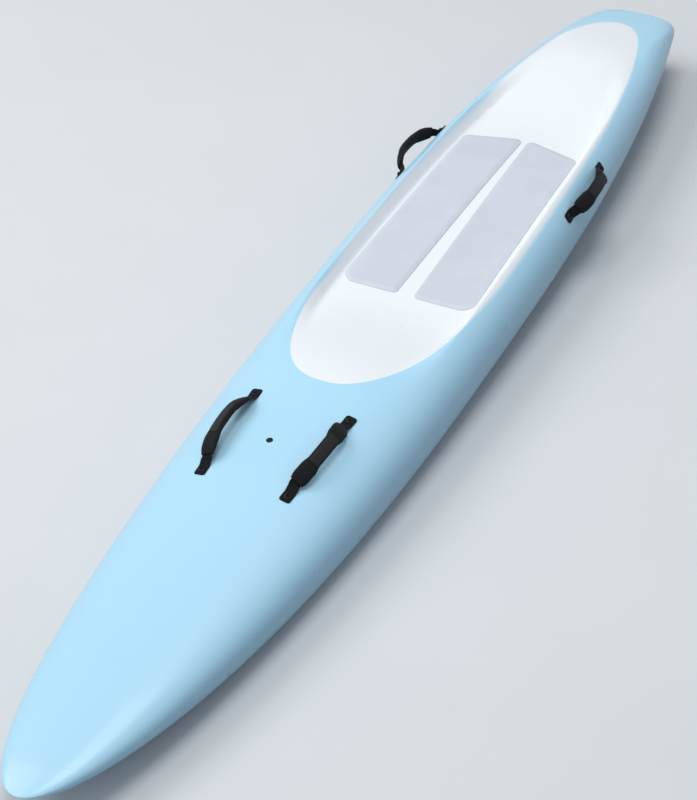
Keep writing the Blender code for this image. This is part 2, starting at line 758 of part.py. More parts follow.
def make_handle(place, end, side, lean, finishes, parent):
    """One carry handle with its fastenings. Returns the cutters for its skin holes and foam pockets."""
    if end == "front":
        aft, fore, edge = FRONT_HANDLE_AFT, FRONT_HANDLE_FORE, FRONT_HANDLE_INSET
        rise, height = FRONT_TONGUE_RISE, FRONT_LOOP_HEIGHT
    else:
        aft, fore, edge = REAR_HANDLE_AFT, REAR_HANDLE_FORE, REAR_HANDLE_INSET
        rise, height = REAR_TONGUE_RISE, REAR_LOOP_HEIGHT
    frame, half_length = handle_frame(aft, fore, edge, side)
    base = empty(place + "_handle_base", parent, frame)
    outboard = Matrix.Rotation(math.radians(-side * lean), 4, "X")
    swing = empty(place + "_handle_swing", base, Matrix.Translation((0, 0, FOLD_HEIGHT)) @ outboard)
    webbing, neoprene, label = finishes["webbing"], finishes["neoprene"], finishes["label"]
    mesh_object(place + "_handle_loop", loop_mesh(half_length, rise, height), webbing, swing)
    mesh_object(place + "_handle_sleeve", sleeve_mesh(half_length, rise, height), neoprene, swing)
    mesh_object(place + "_handle_label", label_mesh(half_length, rise, height), label, swing)
    screw, washer, insert = fastening_profiles()
    holes, pockets = [], []
    for direction, turn in (("fore", 0.0), ("aft", math.pi)):
        name = place + "_handle_" + direction
        half_turn = Matrix.Rotation(turn, 4, "Z")
        seat = empty(name + "_seat", base, half_turn @ Matrix.Translation((half_length, 0, 0)))
        tongue = mesh_object(name + "_tongue", tongue_mesh(half_length, rise), webbing, base)
        tongue.matrix_local = half_turn
        screw_top = GAP + WEBBING_THICKNESS + WASHER_HEIGHT
        cut(tongue, drill(name + "_tongue_hole", SCREW_RADIUS + GAP, screw_top, -screw_top, seat))
        mesh_object(name + "_screw", turned(screw), finishes["black_steel"], seat)
        mesh_object(name + "_washer", turned(washer), finishes["black_plastic"], seat)
        mesh_object(name + "_insert", turned(insert), finishes["black_plastic"], seat)
        holes.append(drill(name + "_skin_hole", SCREW_RADIUS + GAP, 4 * SKIN, -4 * SKIN, seat))
        depth = INSERT_TOP_DEPTH + INSERT_LENGTH + GAP
        pockets.append(drill(name + "_foam_pocket", INSERT_RADIUS + GAP, 2 * INSERT_TOP_DEPTH, -depth, seat))
    return holes, pockets


# Vent plug

def make_vent(finishes, parent):
    """Vent body, seal and slotted screw beside the stringer. Returns its skin hole and its pocket."""
    point, normal = deck_point(VENT_FROM_STERN, VENT_OFFSET)
    frame = normal.to_track_quat("Z", "Y").to_matrix().to_4x4()
    frame.translation = point
    base = empty("vent_base", parent, frame)
    lip = SKIN / 3
    bore = VENT_SCREW_RADIUS + GAP
    recess = VENT_HEAD_RADIUS + GAP
    floor = VENT_DEPTH - 0.002
    body = [
        (recess, lip),
        (VENT_RADIUS, lip),
        (VENT_RADIUS, -VENT_DEPTH),
        (VENT_BREATHER_RADIUS, -VENT_DEPTH),
        (VENT_BREATHER_RADIUS, -floor),
        (bore, -floor),
        (bore, -VENT_SEAT_DEPTH),
        (recess, -VENT_SEAT_DEPTH),
    ]
    mesh_object("vent_body", turned(body, 24), finishes["black_plastic"], base)
    seal_radius = VENT_SEAL_THICKNESS / 2
    seal_height = -VENT_HEAD_HEIGHT - GAP - seal_radius
    seal_middle = bore + seal_radius
    seal = []
    for step in range(8):
        angle = 2 * math.pi * step / 8
        out, up = seal_radius * math.cos(angle), seal_radius * math.sin(angle)
        seal.append((seal_middle + out, seal_height + up))
    mesh_object("vent_seal", turned(seal, 24), finishes["rubber"], base)
    shank = VENT_DEPTH * 0.7
    screw = [
        (0, 0),
        (VENT_HEAD_RADIUS, 0),
        (VENT_HEAD_RADIUS, -VENT_HEAD_HEIGHT),
        (VENT_SCREW_RADIUS, -VENT_HEAD_HEIGHT),
        (VENT_SCREW_RADIUS, -shank),
        (0, -shank - VENT_SCREW_RADIUS / 2),
    ]
    vent_screw = mesh_object("vent_screw", turned(screw, 24), finishes["black_plastic"], base)
    slot_reach = 2 * VENT_HEAD_RADIUS
    slot_low = (-VENT_SLOT_WIDTH / 2, -slot_reach, -VENT_HEAD_HEIGHT / 2)
    slot_high = (VENT_SLOT_WIDTH / 2, slot_reach, VENT_HEAD_HEIGHT)
    cut(vent_screw, cutter("vent_slot", box_mesh(slot_low, slot_high), base))
    hole = drill("vent_skin_hole", VENT_RADIUS + GAP, 4 * SKIN, -4 * SKIN, base)
    pocket = drill("vent_foam_pocket", VENT_RADIUS + GAP, VENT_DEPTH, -VENT_DEPTH - GAP, base)
    return hole, pocket


# Fin

def fin_rings():
    """Rings of the fin from the top of its tab down to the tip of its blade."""
    thick = FIN_SLOT_WIDTH / 2 - GAP
    half = FIN_BOX_LENGTH / 2 - FIN_BOX_END_WALL - GAP
    angles = [2 * math.pi * (step + 0.5) / 12 for step in range(12)]

    def ring(leading, trailing, half_thickness, height, squareness):
        middle, reach = (leading + trailing) / 2, (leading - trailing) / 2
        points = []
        for angle in angles:
            c, s = math.cos(angle), math.sin(angle)
            along = math.copysign(abs(c) ** squareness, c)
            across = math.copysign(abs(s) ** squareness, s)
            points.append((middle + reach * along, half_thickness * across, height))
        return points

    step_back = half - FIN_TONGUE_LENGTH
    rings = [
        ring(step_back, -half, thick, FIN_TAB_HEIGHT, 0.12),
        ring(step_back, -half, thick, FIN_TONGUE_RAISE, 0.12),
    ]
    for share in (0.0, 0.06, 0.25, 0.45, 0.65, 0.82, 0.94, 1.0):
        chord = FIN_CHORD + (FIN_TIP_CHORD - FIN_CHORD) * share**1.5
        if share > 0.9:
            chord *= 1.0 - 0.35 * (share - 0.9) / 0.1
        leading = FIN_CHORD / 2 - FIN_RAKE * share**1.4 - 0.01
        thickness = FIN_THICKNESS + (FIN_TIP_THICKNESS - FIN_THICKNESS) * share
        rings.append(ring(leading, leading - chord, thickness / 2, -GAP - FIN_DEPTH * share, 0.9))
    return rings


def make_fin(finishes, parent):
    """Fin, fin box, screw and nut. Returns the cutter for the box's recess and the lowest point's place."""
    keel = float(profile(FIN_FROM_STERN)[1])
    frame = Matrix.Rotation(-math.atan(keel_slope(FIN_FROM_STERN)), 4, "Y")
    frame.translation = (FIN_FROM_STERN, 0.0, keel)
    base = empty("fin_base", parent, frame)
    half_length, half_wide = FIN_BOX_LENGTH / 2, FIN_BOX_WIDTH / 2
    box_low = (-half_length, -half_wide, SKIN / 3)
    box_high = (half_length, half_wide, FIN_BOX_HEIGHT)
    box = mesh_object("fin_box", box_mesh(box_low, box_high), finishes["black_plastic"], base)
    slot_half, slot_wide = half_length - FIN_BOX_END_WALL, FIN_SLOT_WIDTH / 2
    slot_low = (-slot_half, -slot_wide, -SKIN)
    slot_high = (slot_half, slot_wide, FIN_SLOT_DEPTH)
    cut(box, cutter("fin_slot", box_mesh(slot_low, slot_high), base))

    fin = mesh_object("fin", lofted(fin_rings()), finishes["fin"], base)
    front = slot_half - GAP
    tongue_low = (front - 2 * FIN_TONGUE_LENGTH, -slot_wide + GAP, FIN_TONGUE_RAISE)
    tongue_high = (front, slot_wide - GAP, FIN_TONGUE_RAISE + FIN_TONGUE_THICKNESS)
    tongue = cutter("fin_tongue_blank", box_mesh(tongue_low, tongue_high), base)
    joined = fin.modifiers.new("tongue", "BOOLEAN")
    joined.operation = "UNION"
    joined.solver = "EXACT"
    joined.object = tongue
    screw_x = front - FIN_TONGUE_LENGTH / 2
    screw_seat = empty("fin_screw_seat", base, Matrix.Translation((screw_x, 0.0, FIN_TONGUE_RAISE)))
    clearance = FIN_TONGUE_THICKNESS + FIN_NUT_THICKNESS
    radius = SCREW_RADIUS * 0.8
    cut(fin, drill("fin_tongue_hole", radius + GAP, clearance, -clearance, screw_seat))

    head_low = -GAP - 0.0022
    screw = [
        (0, FIN_SLOT_DEPTH - FIN_TONGUE_RAISE - 0.003),
        (radius, FIN_SLOT_DEPTH - FIN_TONGUE_RAISE - 0.003),
        (radius, -GAP),
        (0.0035, -GAP),
        (0.0035, head_low),
        (0, head_low),
    ]
    mesh_object("fin_screw", turned(screw), finishes["steel"], screw_seat)
    nut_low = FIN_TONGUE_THICKNESS + GAP
    nut_half = slot_wide - GAP
    nut = mesh_object(
        "fin_nut",
        box_mesh((-nut_half, -nut_half, nut_low), (nut_half, nut_half, nut_low + FIN_NUT_THICKNESS)),
        finishes["brass"],
        screw_seat,
    )
    cut(nut, drill("fin_nut_hole", radius + GAP, 4 * nut_low, -nut_low, screw_seat))
    recess_low = (-half_length - GAP, -half_wide - GAP, -4 * SKIN)
    recess_high = (half_length + GAP, half_wide + GAP, FIN_BOX_HEIGHT + GAP)
    recess = cutter("fin_box_recess", box_mesh(recess_low, recess_high), base)
    tip = frame @ Vector(fin_rings()[-1][0])
    lowest = min((frame @ Vector(point) for point in fin_rings()[-1]), key=lambda point: point.z)
    return recess, (lowest.x, min(tip.z, lowest.z))


# Assembly

def set_down(board, form, fin_tip):
    """Lower the bow until the fin's tip and the bottom both stand on the floor."""
    keel = form[:, -1]

    def clearance(angle):
        heights = keel[:, 2] * math.cos(angle) - keel[:, 0] * math.sin(angle)
        return heights.min() - (fin_tip[1] * math.cos(angle) - fin_tip[0] * math.sin(angle))

    low, high = 0.0, math.radians(15.0)
    for _ in range(50):
        angle = (low + high) / 2
        if clearance(angle) > 0:
            low = angle
        else:
            high = angle
    along = form[:, :, 0] * math.cos(angle) + form[:, :, 2] * math.sin(angle)
    heights = keel[:, 2] * math.cos(angle) - keel[:, 0] * math.sin(angle)
    board.rotation_euler = (0.0, angle, 0.0)
    board.location = (-(along.min() + along.max()) / 2, 0.0, -heights.min())


def main():
    clear_scene()
    finishes = {
        "deck_skin": material("painted deck laminate", (0.52, 0.76, 0.93), 0.25),
        "hull_skin": material("painted hull laminate", (0.50, 0.74, 0.91), 0.25),
        "foam": material("polystyrene foam", (0.92, 0.92, 0.9), 0.9),
        "wood": material("plywood", (0.62, 0.45, 0.27), 0.6),
        "pad": material("grey pad foam", (0.64, 0.66, 0.72), 0.8),
        "webbing": material("black webbing", (0.012, 0.013, 0.016), 0.75),
        "neoprene": material("black neoprene", (0.014, 0.015, 0.018), 0.65),
        "label": material("blank woven label", (0.03, 0.03, 0.035), 0.6),
        "black_plastic": material("black plastic", (0.02, 0.02, 0.022), 0.45),
        "black_steel": material("blackened steel", (0.05, 0.05, 0.055), 0.35, 1.0),
        "steel": material("stainless steel", (0.6, 0.6, 0.6), 0.3, 1.0),
        "brass": material("brass", (0.75, 0.55, 0.25), 0.35, 1.0),
        "rubber": material("seal rubber", (0.015, 0.015, 0.015), 0.7),
        "fin": material("fin laminate", (0.05, 0.055, 0.06), 0.3),
    }
    form = outer_form()
    board = empty("board", None, Matrix.Identity(4))
    deck_skin, hull_skin = make_skins(form, finishes, board)
    port_core, starboard_core = make_cores(form, finishes["foam"], board)
    stringer = make_stringer(form, finishes["wood"], board)
    make_pad("port_knee_pad", 1, finishes["pad"], board)
    make_pad("starboard_knee_pad", -1, finishes["pad"], board)

    for place, end, side, lean, core in (
        ("front_port", "front", 1, FRONT_PORT_LEAN, port_core),
        ("front_starboard", "front", -1, FRONT_STARBOARD_LEAN, starboard_core),
        ("rear_port", "rear", 1, REAR_PORT_LEAN, port_core),
        ("rear_starboard", "rear", -1, REAR_STARBOARD_LEAN, starboard_core),
    ):
        holes, pockets = make_handle(place, end, side, lean, finishes, board)
        cut(deck_skin, *holes)
        cut(core, *pockets)

    vent_hole, vent_pocket = make_vent(finishes, board)
    cut(deck_skin, vent_hole)
    fin_recess, fin_tip = make_fin(finishes, board)
    cut(hull_skin, fin_recess)
    cut(starboard_core, vent_pocket)
    for piece in (port_core, starboard_core, stringer):
        cut(piece, fin_recess)
    set_down(board, form, fin_tip)


main()
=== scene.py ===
import math

import bmesh
import bpy
import numpy as np
from mathutils import Matrix, Vector
from mathutils.noise import noise as fold_noise


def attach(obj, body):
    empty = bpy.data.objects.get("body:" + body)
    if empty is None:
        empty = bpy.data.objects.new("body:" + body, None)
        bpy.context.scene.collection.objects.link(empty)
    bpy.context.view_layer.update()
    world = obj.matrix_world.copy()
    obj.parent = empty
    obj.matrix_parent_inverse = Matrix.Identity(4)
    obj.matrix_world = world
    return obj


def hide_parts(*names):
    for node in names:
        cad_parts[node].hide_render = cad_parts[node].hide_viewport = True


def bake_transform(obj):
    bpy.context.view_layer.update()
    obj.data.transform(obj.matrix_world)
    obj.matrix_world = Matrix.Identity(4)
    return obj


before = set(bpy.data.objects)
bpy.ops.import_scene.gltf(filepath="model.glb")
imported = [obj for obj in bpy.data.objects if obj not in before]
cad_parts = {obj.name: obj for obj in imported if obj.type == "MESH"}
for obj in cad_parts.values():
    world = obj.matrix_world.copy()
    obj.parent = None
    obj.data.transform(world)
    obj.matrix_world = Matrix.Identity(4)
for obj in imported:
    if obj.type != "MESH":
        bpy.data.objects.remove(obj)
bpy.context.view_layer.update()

# Prone racing paddle board. Every piece is drawn in the board's own frame, in metres: x from the
# stern to the bow, y to port, z up from the flat of the bottom. The finished mesh is then stood
# as the board stands on a floor, on its fin tip and its bottom, 2.75 degrees bow down.


# Board shells
# Two skins of glass cloth and epoxy, a deck and a hull, pressed over a foam blank and joined round
# the rail. The deck is hollowed into a kneeling well and tapers in a ramp to the squared tail.
# Gloss paint over both: pale blue, with a white deck whose long sides are misted into the blue.

LENGTH = 3.2
HALF_BEAM = 0.26
HALF_TAIL = 0.111
WIDEST = 1.59
TAIL_CORNER = 0.03
TAIL_EDGE = 0.012
NOSE_ROUND = 0.09
CROWN = 0.233
CROWN_AT = 1.54
CROWN_FALL_TO_BOW = 0.049
CROWN_FALL_TO_TAIL = 0.14
FLAT_FROM = 1.3
FLAT_TO = 1.5
KEEL_RISE_TO_BOW = 0.168
KEEL_RISE_TO_TAIL = 0.039
RAIL_SHARE = 0.45
BOTTOM_FLAT_SHARE = 0.55
BOTTOM_SQUARENESS = 2.9
WELL_DEPTH = 0.068
WELL_REAR_RAMP = (0.30, 0.75)
WELL_FRONT_RAMP = (1.50, 1.90)
WELL_FLOOR_SHARE = 0.70
WELL_FLOOR_LOST_AT_ENDS = 0.35
WELL_RIM_SHARE = 0.795
CREASE_HEIGHT = 0.0045
CREASE_FROM_MIDDLE = 0.126
SKIN = 0.0015
STERN_AT = (-1.60346, 0.0, 0.0897)
BOW_DOWN_DEGREES = 2.75056

standing = Matrix.Translation(STERN_AT) @ Matrix.Rotation(math.radians(BOW_DOWN_DEGREES), 4, "Y")


def ramp(value, start, end):
    """Soft step from 0 at the start to 1 at the end."""
    share = np.clip((value - start) / (end - start), 0.0, 1.0)
    return share * share * (3.0 - 2.0 * share)


def quarter_round(distance, radius):
    """How far a rounded edge falls back at a distance from the end of the board."""
    return radius - radius * np.sqrt(1.0 - np.clip(1.0 - distance / radius, 0.0, 1.0) ** 2)


def half_width(x):
    bow = np.clip((x - WIDEST) / (LENGTH - WIDEST), 0.0, 1.0)
    tail = np.clip((WIDEST - x) / WIDEST, 0.0, 1.0)
    to_bow = HALF_BEAM * np.sqrt(np.maximum(1.0 - bow**2.2, 0.0))
    to_tail = HALF_BEAM - (HALF_BEAM - HALF_TAIL) * tail**2.86
    return np.where(x > WIDEST, to_bow, to_tail) - quarter_round(x, TAIL_CORNER)


def deck_and_keel_lines(x):
    """Heights of the deck and of the bottom along the middle, with no well in the deck."""
    to_bow = np.clip((x - CROWN_AT) / (LENGTH - CROWN_AT), 0.0, 1.0)
    to_tail = np.clip((CROWN_AT - x) / CROWN_AT, 0.0, 1.0)
    crown = CROWN - CROWN_FALL_TO_BOW * to_bow**1.85 - CROWN_FALL_TO_TAIL * to_tail**3.6
    bow_rise = KEEL_RISE_TO_BOW * np.clip((x - FLAT_TO) / (LENGTH - FLAT_TO), 0.0, 1.0) ** 2.63
    tail_rise = KEEL_RISE_TO_TAIL * np.clip((FLAT_FROM - x) / FLAT_FROM, 0.0, 1.0) ** 2
    keel = bow_rise + tail_rise
    middle = (crown + keel) / 2
    nose = np.sqrt(1.0 - np.clip(1.0 - (LENGTH - x) / NOSE_ROUND, 0.0, 1.0) ** 2)
    half = (crown - keel) / 2 * nose - quarter_round(x, TAIL_EDGE)
    return middle + half, middle - half


def deck_squareness(x):
    return 2.5 + 0.5 * (1.0 - ramp(x, 0.15, 0.45))


def well_share(x):
    """Share of the well's depth at x: it climbs out through a ramp at either end."""
    return ramp(x, *WELL_REAR_RAMP) * (1.0 - ramp(x, *WELL_FRONT_RAMP))


def well_foot(x):
    """Where the well's floor meets its wall, as a share of the half width."""
    return WELL_FLOOR_SHARE - WELL_FLOOR_LOST_AT_ENDS * (1.0 - well_share(x))


def well_wall(share, foot):
    """Climb of the well's wall, from 0 at its foot to 1 at its rim."""
    climb = np.clip((share - foot) / (WELL_RIM_SHARE - foot), 0.0, 1.0) ** 1.3
    return climb * climb * (3.0 - 2.0 * climb)


def tail_crease(x, y):
    """Raised edge along both sides of the flat tail, which runs out into the rail ahead of it."""
    edge = CREASE_FROM_MIDDLE + 0.03 * np.clip((x - 0.22) / 0.1, 0.0, 1.5) ** 2
    rail = np.maximum(half_width(x), edge + 0.004)
    outside = np.clip((rail - y) / (rail - edge), 0.0, 1.0)
    inside = np.clip(y / edge, 0.0, 1.0) ** 4
    run_out = ramp(x, 0.02, 0.08) * (1.0 - ramp(x, 0.24, 0.36))
    return CREASE_HEIGHT * np.where(y > edge, outside, inside) * run_out


def deck_height(x, share):
    """Height of the deck at a share of the half width."""
    crown, keel = deck_and_keel_lines(x)
    rail = keel + RAIL_SHARE * (crown - keel)
    power = deck_squareness(x)
    domed = rail + (crown - rail) * np.maximum(1.0 - share**power, 0.0) ** (1.0 / power)
    sunk = well_share(x) * (1.0 - well_wall(share, well_foot(x)))
    return domed + (crown - WELL_DEPTH - domed) * sunk + tail_crease(x, share * half_width(x))


def section_places():
    """Distances from the stern of the drawn sections, closer together round the tail and the nose."""
    tail = TAIL_CORNER * (1.0 - np.cos(np.linspace(0.0, math.pi / 2, 11)))
    nose_run = 0.25
    body = np.linspace(TAIL_CORNER, LENGTH - nose_run, 148)[1:]
    nose = LENGTH - nose_run * (1.0 - np.linspace(0.0, 1.0, 30)[1:]) ** 2
    return np.concatenate([tail, body, nose])


def deck_sections(x):
    """Port half of the deck from the middle out to the rail, one row for each place in x."""
    power = deck_squareness(x)[:, None]
    foot = well_foot(x)[:, None]
    floor = foot * np.linspace(0.0, 1.0, 9)
    wall = foot + (WELL_RIM_SHARE - foot) * np.linspace(0.0, 1.0, 17)[1:]
    rim = np.arcsin(WELL_RIM_SHARE ** (power / 2))
    turn = rim + (math.pi / 2 - rim) * np.linspace(0.0, 1.0, 19)[1:]
    edge = np.sin(turn) ** (2 / power)
    shares = np.concatenate([floor, wall, edge], axis=1)
    along = np.tile(x[:, None], (1, shares.shape[1]))
    return np.stack([along, shares * half_width(x)[:, None], deck_height(along, shares)], axis=2)


def hull_sections(x):
    """Port half of the hull from the middle of the flat bottom out to the rail."""
    crown, keel = deck_and_keel_lines(x)
    rail = keel + RAIL_SHARE * (crown - keel)
    turn = np.linspace(math.pi / 2, 0.0, 26)
    flat = np.linspace(0.0, BOTTOM_FLAT_SHARE, 5)[:-1]
    bilge = (1.0 - BOTTOM_FLAT_SHARE) * np.maximum(np.cos(turn), 0) ** (2 / BOTTOM_SQUARENESS)
    across = np.concatenate([flat, BOTTOM_FLAT_SHARE + bilge])
    down = np.concatenate([np.ones(len(flat)), np.sin(turn) ** (2 / BOTTOM_SQUARENESS)])
    along = np.tile(x[:, None], (1, len(across)))
    heights = rail[:, None] - (rail - keel)[:, None] * down
    return np.stack([along, across * half_width(x)[:, None], heights], axis=2)


def new_object(name, mesh):
    made = bpy.data.objects.new(name, mesh)
    bpy.context.scene.collection.objects.link(made)
    return made


def mesh_from(bm, name):
    mesh = bpy.data.meshes.new(name)
    bm.to_mesh(mesh)
    bm.free()
    return mesh


def finished_mesh(obj):
    """The object's mesh with its modifiers made real."""
    bpy.context.view_layer.update()
    evaluated = obj.evaluated_get(bpy.context.evaluated_depsgraph_get())
    obj.data = bpy.data.meshes.new_from_object(evaluated)
    obj.modifiers.clear()


def skin_surface(name, half_rows, upwards):
    """Open surface of one shell, both halves, closed by a flat face at the tail."""
    rows = np.concatenate([half_rows[:, ::-1], half_rows[:, 1:] * np.array([1.0, -1.0, 1.0])], axis=1)
    count, columns = rows.shape[:2]
    bm = bmesh.new()
    corners = [bm.verts.new(point) for point in rows.reshape(-1, 3)]
    for row in range(count - 1):
        for column in range(columns - 1):
            near = row * columns + column
            far = near + columns
            quad = [corners[near], corners[near + 1], corners[far + 1], corners[far]]
            bm.faces.new(quad if upwards else quad[::-1])
    tail = corners[:columns]
    bm.faces.new(tail[::-1] if upwards else tail)
    bmesh.ops.remove_doubles(bm, verts=bm.verts, dist=1e-6)
    return mesh_from(bm, name)


def turned(outline, sides):
    """Solid turned about z through points of (radius, height), from one pole to the other."""
    bm = bmesh.new()
    rings = []
    for radius, height in outline:
        spokes = [2 * math.pi * side / sides for side in range(1 if radius == 0 else sides)]
        rings.append([bm.verts.new((radius * math.cos(a), radius * math.sin(a), height)) for a in spokes])
    pairs = list(zip(rings, rings[1:]))
    if outline[0][0] > 0:
        pairs.append((rings[-1], rings[0]))
    for upper, lower in pairs:
        for side in range(sides):
            after = (side + 1) % sides
            corners = ((upper, side), (upper, after), (lower, after), (lower, side))
            loop = list(dict.fromkeys(ring[place % len(ring)] for ring, place in corners))
            if len(loop) > 2:
                bm.faces.new(loop)
    bmesh.ops.recalc_face_normals(bm, faces=bm.faces)
    return mesh_from(bm, "turned")


def deck_point(x, y):
    """Point of the deck over a place in the plan, and the way out of the deck there."""
    def height(at_x, at_y):
        return float(deck_height(np.float64(at_x), abs(at_y) / half_width(np.float64(at_x))))

    step = 0.0005
    slope_x = (height(x + step, y) - height(x - step, y)) / (2 * step)
    slope_y = (height(x, y + step) - height(x, y - step)) / (2 * step)
    return Vector((x, y, height(x, y))), Vector((-slope_x, -slope_y, 1.0)).normalized()


def handle_seat(aft, fore, from_rail, side):
    """Frame midway between a handle's screws, x forward and z out of the deck, and half their distance."""
    aft_point, aft_out = deck_point(aft, side * (float(half_width(np.float64(aft))) - from_rail))
    fore_point, fore_out = deck_point(fore, side * (float(half_width(np.float64(fore))) - from_rail))
    forward = (fore_point - aft_point).normalized()
    up = aft_out + fore_out
    up = (up - forward * up.dot(forward)).normalized()
    seat = Matrix((forward, up.cross(forward), up)).transposed().to_4x4()
    seat.translation = (aft_point + fore_point) / 2
    return seat, (fore_point - aft_point).length / 2


handles = {}
for end, aft, fore, from_rail in (("front", 1.997, 2.267, 0.130), ("rear", 0.815, 1.035, 0.0125)):
    for name, side in (("port", 1), ("starboard", -1)):
        handles[end + "_" + name] = handle_seat(aft, fore, from_rail, side)
ways_out = {"fore": Matrix.Identity(4), "aft": Matrix.Rotation(math.pi, 4, "Z")}
screw_seats = {}
for place, (seat, half_length) in handles.items():
    for end, way_out in ways_out.items():
        screw_seats[place + "_handle_" + end] = seat @ way_out @ Matrix.Translation((half_length, 0.0, 0.0))

VENT_AT = (2.128, -0.0115)
vent_point, vent_out = deck_point(*VENT_AT)
vent_seat = vent_out.to_track_quat("Z", "Y").to_matrix().to_4x4()
vent_seat.translation = vent_point


def cut_by(obj, shapes):
    """Cuts solids given as (mesh, frame) out of the object."""
    bm = bmesh.new()
    for mesh, seat in shapes:
        placed = mesh.copy()
        placed.transform(seat)
        bm.from_mesh(placed)
    tool = new_object("cutters", mesh_from(bm, "cutters"))
    modifier = obj.modifiers.new("holes", "BOOLEAN")
    modifier.solver = "EXACT"
    modifier.operation = "DIFFERENCE"
    modifier.object = tool
    finished_mesh(obj)
    bpy.data.objects.remove(tool, do_unlink=True)


def drill(radius, sides):
    """Short round bar, sunk halfway into the deck, for cutting a hole."""
    return turned([(0, 0.006), (radius, 0.006), (radius, -0.006), (0, -0.006)], sides)


def keel_at(x):
    return float(deck_and_keel_lines(np.float64(x))[1])


screw_drill = drill(0.0028, 24)
vent_drill = drill(0.0083, 48)

FIN_AT = 0.27
FIN_RECESS = (0.1804, 0.0245, 0.037)
fin_slope = (keel_at(FIN_AT + 0.001) - keel_at(FIN_AT - 0.001)) / 0.002
fin_seat = Matrix.Translation((FIN_AT, 0.0, keel_at(FIN_AT))) @ Matrix.Rotation(-math.atan(fin_slope), 4, "Y")
bm = bmesh.new()
recess_place = Matrix.Translation((0, 0, 0.0085)) @ Matrix.Diagonal((*FIN_RECESS, 1.0))
bmesh.ops.create_cube(bm, size=1.0, matrix=recess_place)
fin_box_recess = mesh_from(bm, "fin_box_recess")

places = section_places()
deck = new_object("deck_shell", skin_surface("deck_shell", deck_sections(places), True))
hull = new_object("hull_shell", skin_surface("hull_shell", hull_sections(places), False))
for shell in (deck, hull):
    wall = shell.modifiers.new("wall", "SOLIDIFY")
    wall.thickness = SKIN
    wall.offset = -1.0
    finished_mesh(shell)
cut_by(deck, [(screw_drill, seat) for seat in screw_seats.values()] + [(vent_drill, vent_seat)])
cut_by(hull, [(fin_box_recess, fin_seat)])

WHITE_REAR = 0.127
WHITE_FRONT = 1.905


def rounded_end(along, half, fullness, squareness):
    """Half width of a rounded end, from its widest at along 0 to its tip at along 1."""
    return half * np.maximum(1.0 - np.clip(along, 0.0, 1.0) ** fullness, 0.0) ** squareness


def white_half_width(x):
    """Half width of the white area, which follows the rails and is rounded off at both ends."""
    to_bow = rounded_end((x - 1.56) / (WHITE_FRONT - 1.56), 0.2021, 1.426, 0.407)
    to_tail = rounded_end((0.563 - x) / (0.563 - WHITE_REAR), 0.1644, 1.581, 0.481)
    sides = half_width(x) - 0.0485
    sides = sides + (to_tail - sides) * (1.0 - ramp(x, 0.44, 0.58))
    return sides + (to_bow - sides) * ramp(x, 1.35, 1.6)


def white_middle(x):
    """The white area was taped by hand, and its middle wanders a few millimetres off the stringer."""
    return 0.0145 * ramp(x, 0.3, 0.7) - 0.007 - 0.0075 * ramp(x, 1.45, 1.7)


def paint_lines(points):
    """How far each point lies inside the white area's edge, and how wide the paint's mist is there."""
    turn = np.linspace(0.0, math.pi, 240)
    along = (WHITE_FRONT + WHITE_REAR) / 2 + (WHITE_FRONT - WHITE_REAR) / 2 * np.cos(turn)
    port = np.stack([along, white_middle(along) + white_half_width(along)], axis=1)
    starboard = np.stack([along, white_middle(along) - white_half_width(along)], axis=1)
    starts = np.concatenate([port[:-1], starboard[:-1]])
    runs = np.concatenate([port[1:] - port[:-1], starboard[1:] - starboard[:-1]])
    apart = points[:, None, :2] - starts[None]
    share = np.clip((apart * runs).sum(axis=2) / (runs**2).sum(axis=1), 0.0, 1.0)
    nearest = np.hypot(*np.moveaxis(apart - share[..., None] * runs, 2, 0)).min(axis=1)
    x, y = points[:, 0], points[:, 1]
    within = (np.abs(y - white_middle(x)) < white_half_width(x)) & (x > WHITE_REAR) & (x < WHITE_FRONT)
    clear_of_tail = ramp(x, 0.35, 0.6)
    sides = clear_of_tail * (1.0 - ramp(x, 1.45, 1.65))
    mist = 0.0008 + 0.006 * sides + 0.0015 * (1.0 - clear_of_tail)
    return np.where(within, nearest, -nearest), mist


def stand(obj, smooth_angle=35.0):
    """Places a finished mesh as the board stands, and shades it."""
    obj.data.transform(standing)
    obj.data.shade_smooth()
    obj.data.set_sharp_from_angle(angle=math.radians(smooth_angle))


for shell in (deck, hull):
    mesh = shell.data
    points = np.empty(len(mesh.vertices) * 3)
    mesh.vertices.foreach_get("co", points)
    inside, mist = paint_lines(points.reshape(-1, 3))
    if shell is hull:
        inside[:] = -1.0
    mesh.attributes.new("white_inside", "FLOAT", "POINT").data.foreach_set("value", inside)
    mesh.attributes.new("mist", "FLOAT", "POINT").data.foreach_set("value", mist)
    stand(shell)


def srgb(*levels):
    """Colour for a shader from its red, green and blue on a screen, 0 to 255."""
    shares = [level / 255 for level in levels]
    return (*[s / 12.92 if s < 0.0405 else ((s + 0.055) / 1.055) ** 2.4 for s in shares], 1.0)


def fill_socket(tree, socket, value):
    """Sets an input to a value, or joins it to another node's output."""
    if isinstance(value, bpy.types.NodeSocket):
        tree.links.new(value, socket)
    else:
        socket.default_value = value


def add_node(tree, kind, inputs=None, **settings):
    """New node with its settings, and with its inputs set to a value or joined to an output."""
    made = tree.nodes.new(kind)
    for name, value in settings.items():
        setattr(made, name, value)
    for socket, value in (inputs or {}).items():
        fill_socket(tree, made.inputs[socket], value)
    return made


def new_finish(name, **sockets):
    """Material, its tree and its shader, with the shader's plain sockets set."""
    made = bpy.data.materials.new(name)
    made.use_nodes = True
    shader = made.node_tree.nodes["Principled BSDF"]
    for socket, value in sockets.items():
        shader.inputs[socket.replace("_", " ").title().replace("Ior", "IOR")].default_value = value
    return made, made.node_tree, shader


def object_place(tree):
    return add_node(tree, "ShaderNodeTexCoord").outputs["Object"]


